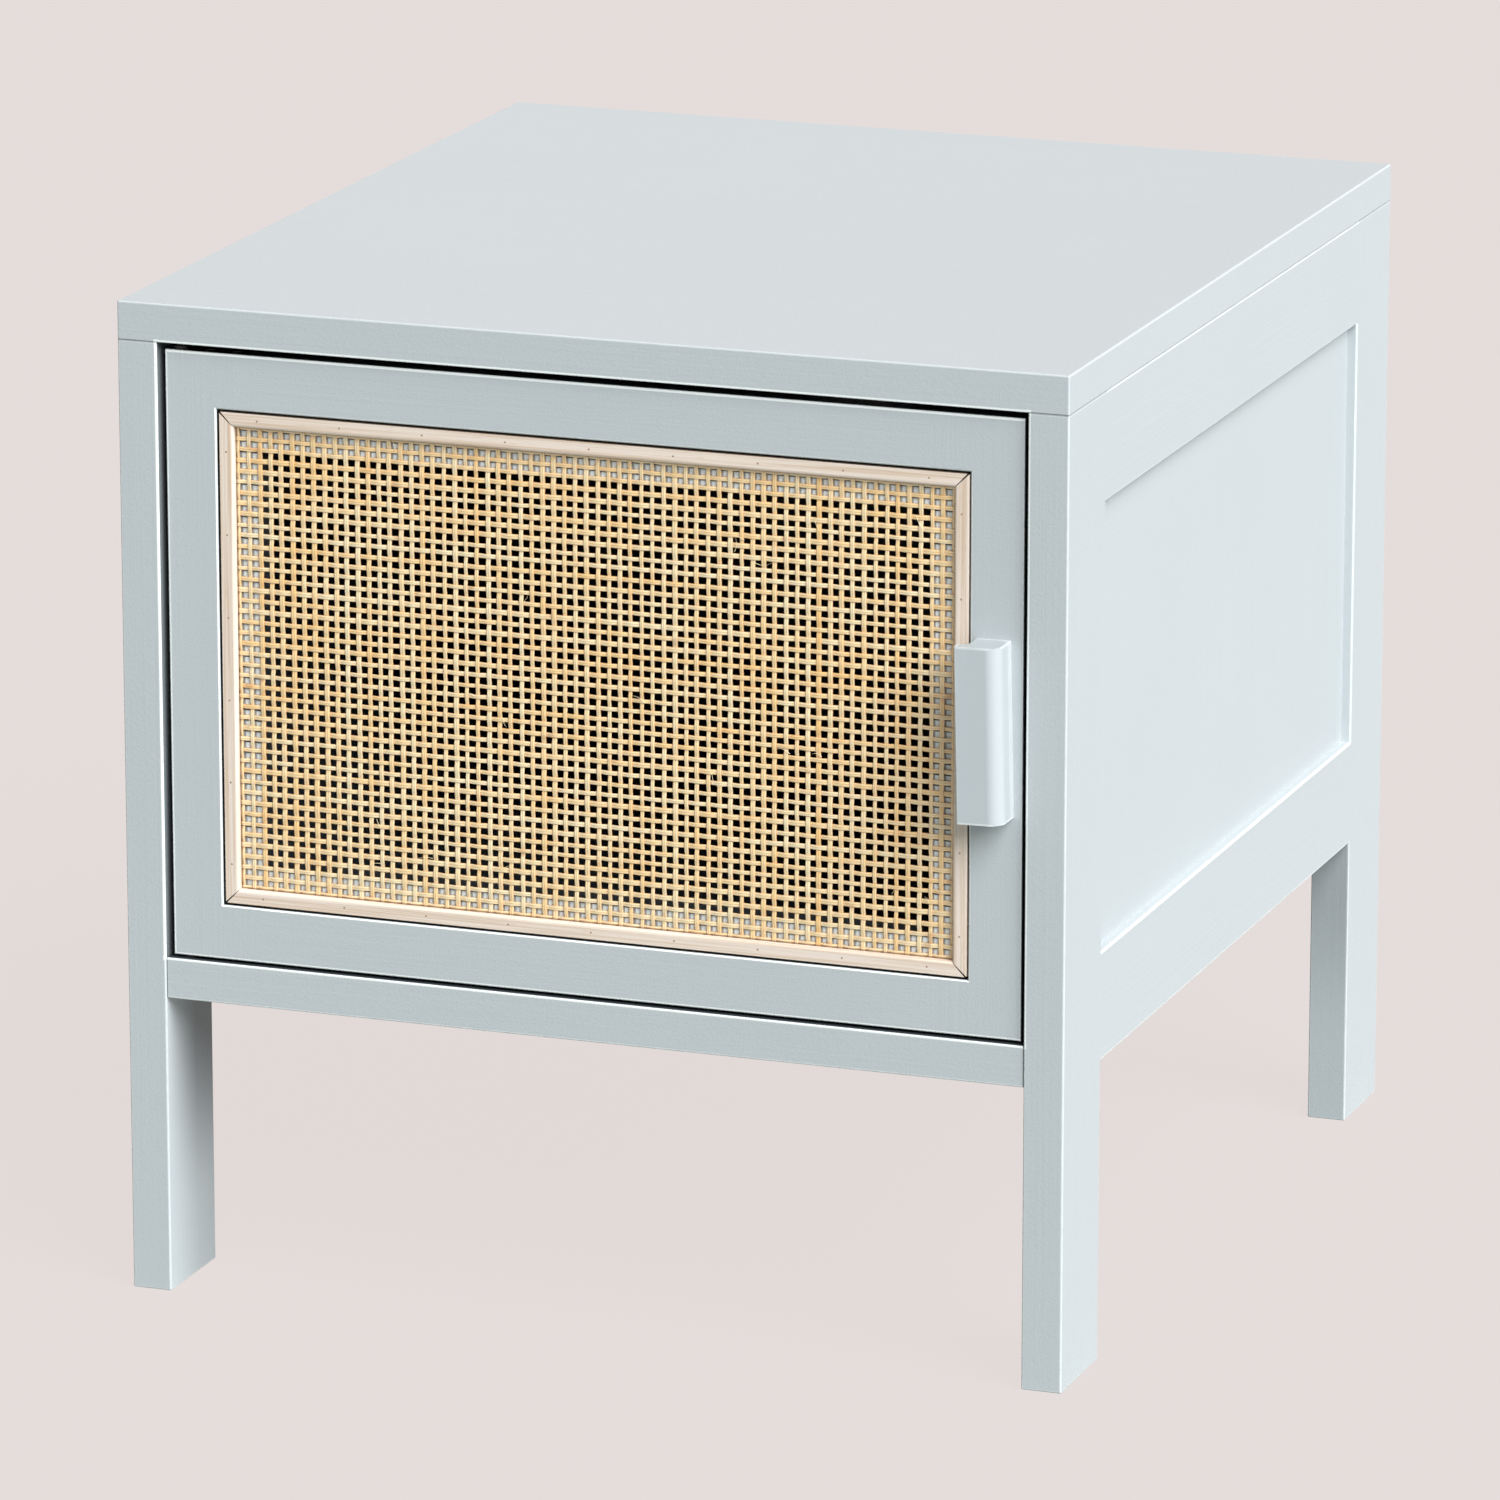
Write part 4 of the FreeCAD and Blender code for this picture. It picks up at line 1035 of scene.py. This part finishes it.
class SIDETABLE_OT_finish_fittings(bpy.types.Operator):
    """Finish the hinges, catch, screws, cams and dowels"""
    bl_idname = "side_table.finish_fittings"
    bl_label = "Finish the Fittings"

    def execute(self, context):
        settings = context.scene.side_table.fitting
        finish(metal("zinc_plate", settings.zinc, 0.34, 2200.0, 0.01 * MM), ZINC)
        finish(metal("cast_zinc", settings.cast, 0.52, 1400.0, 0.04 * MM), CAST)
        finish(metal("black_oxide", settings.black, 0.48, 2600.0, 0.01 * MM), BLACKENED)
        finish(moulded("nylon", settings.nylon, 0.45, 0.01 * MM), NYLON)
        finish(moulded("catch_plastic", settings.plastic, 0.50, 0.02 * MM), ("catch_case",))
        finish(moulded("ferrite", settings.magnet, 0.65, 0.04 * MM), ("catch_magnet",))
        dark = [value * 0.72 for value in settings.beech[:3]] + [1.0]
        finish(raw_wood("beech", settings.beech, dark)[0], DOWELS)
        return {"FINISHED"}


class SIDETABLE_OT_set_stage(bpy.types.Operator):
    """Set the floor, the light and the camera"""
    bl_idname = "side_table.set_stage"
    bl_label = "Set the Stage"

    def execute(self, context):
        settings = context.scene.side_table.stage
        context.scene.view_settings.view_transform = "Standard"
        self.floor(settings)
        self.sky(context, settings)
        self.lamp(settings)
        self.camera(context, settings)
        return {"FINISHED"}

    def floor(self, settings):
        deselect()
        bpy.ops.mesh.primitive_plane_add(size=60)
        floor = bpy.context.object
        floor.name = floor.data.name = "floor"
        material, w, shader, place = new_material("ground")
        w.feed(shader.inputs["Roughness"], 0.9)
        w.feed(shader.inputs["Specular IOR Level"], 0.1)
        even = w.ramp(w.noise(place, 3.0), 0.2, 0.8, 0.995, 1.0)
        w.feed(shader.inputs["Base Color"], w.shaded(settings.bounce, even))
        glow = w.add("Emission", {"Color": w.shaded(settings.ground, 1.03), "Strength": 1.0})
        share = w.times(w.seen(), settings.ground_glow)
        mixed = w.add("MixShader", {0: share, 1: shader.outputs[0], 2: glow.outputs[0]})
        output = next(n for n in material.node_tree.nodes if n.type == "OUTPUT_MATERIAL")
        w.feed(output.inputs["Surface"], mixed.outputs["Shader"])
        floor.data.materials.append(material)

    def sky(self, context, settings):
        world = bpy.data.worlds.new("studio")
        context.scene.world = world
        world.use_nodes = True
        world.node_tree.nodes.clear()
        w = Wiring(world.node_tree)
        light = w.add("Background", {"Color": (1.0, 0.96, 0.88, 1.0), "Strength": settings.sky})
        backdrop = w.add("Background", {"Color": settings.ground, "Strength": 1.0})
        mixed = w.add("MixShader", {0: w.seen(), 1: light.outputs[0], 2: backdrop.outputs[0]})
        w.add("OutputWorld", {"Surface": mixed.outputs["Shader"]})

    def lamp(self, settings):
        deselect()
        bpy.ops.object.light_add(type="SUN")
        lamp = bpy.context.object
        lamp.name = "key_lamp"
        lamp.data.energy = settings.key_lamp
        lamp.data.color = (0.95, 0.975, 0.99)
        lamp.data.angle = settings.key_spread
        lamp.rotation_euler = Vector(settings.key_from).to_track_quat("Z", "Y").to_euler()

    def camera(self, context, settings):
        deselect()
        bpy.ops.object.camera_add(location=settings.eye,
                                  rotation=(math.pi / 2 - settings.dip, 0, settings.turn))
        camera = bpy.context.object
        camera.data.lens = settings.lens
        camera.data.sensor_width = 36.0
        camera.data.clip_end = 200.0
        context.scene.camera = camera


STEPS = (SIDETABLE_OT_paint_boards, SIDETABLE_OT_paint_pull, SIDETABLE_OT_weave_cane,
         SIDETABLE_OT_finish_beads, SIDETABLE_OT_finish_fittings, SIDETABLE_OT_set_stage)


class SIDETABLE_PT_sidebar(bpy.types.Panel):
    """Lists the steps that finish the side table, and their settings"""
    bl_idname = "SIDETABLE_PT_sidebar"
    bl_label = "Side Table"
    bl_space_type = "VIEW_3D"
    bl_region_type = "UI"
    bl_category = "Side Table"

    def draw(self, context):
        layout = self.layout
        for step in STEPS:
            layout.operator(step.bl_idname)
        for group in SETTINGS:
            settings = getattr(context.scene.side_table, group)
            column = layout.box().column()
            for name in settings.__annotations__:
                column.prop(settings, name)


CLASSES = (*SETTINGS.values(), SideTableSettings, *STEPS, SIDETABLE_PT_sidebar)


def register():
    for cls in CLASSES:
        bpy.utils.register_class(cls)
    bpy.types.Scene.side_table = bpy.props.PointerProperty(type=SideTableSettings)


def unregister():
    del bpy.types.Scene.side_table
    for cls in reversed(CLASSES):
        bpy.utils.unregister_class(cls)


def main():
    register()
    bpy.ops.side_table.paint_boards()
    bpy.ops.side_table.paint_pull()
    bpy.ops.side_table.weave_cane()
    bpy.ops.side_table.finish_beads()
    bpy.ops.side_table.finish_fittings()
    bpy.ops.side_table.set_stage()


if __name__ == "__main__":
    main()
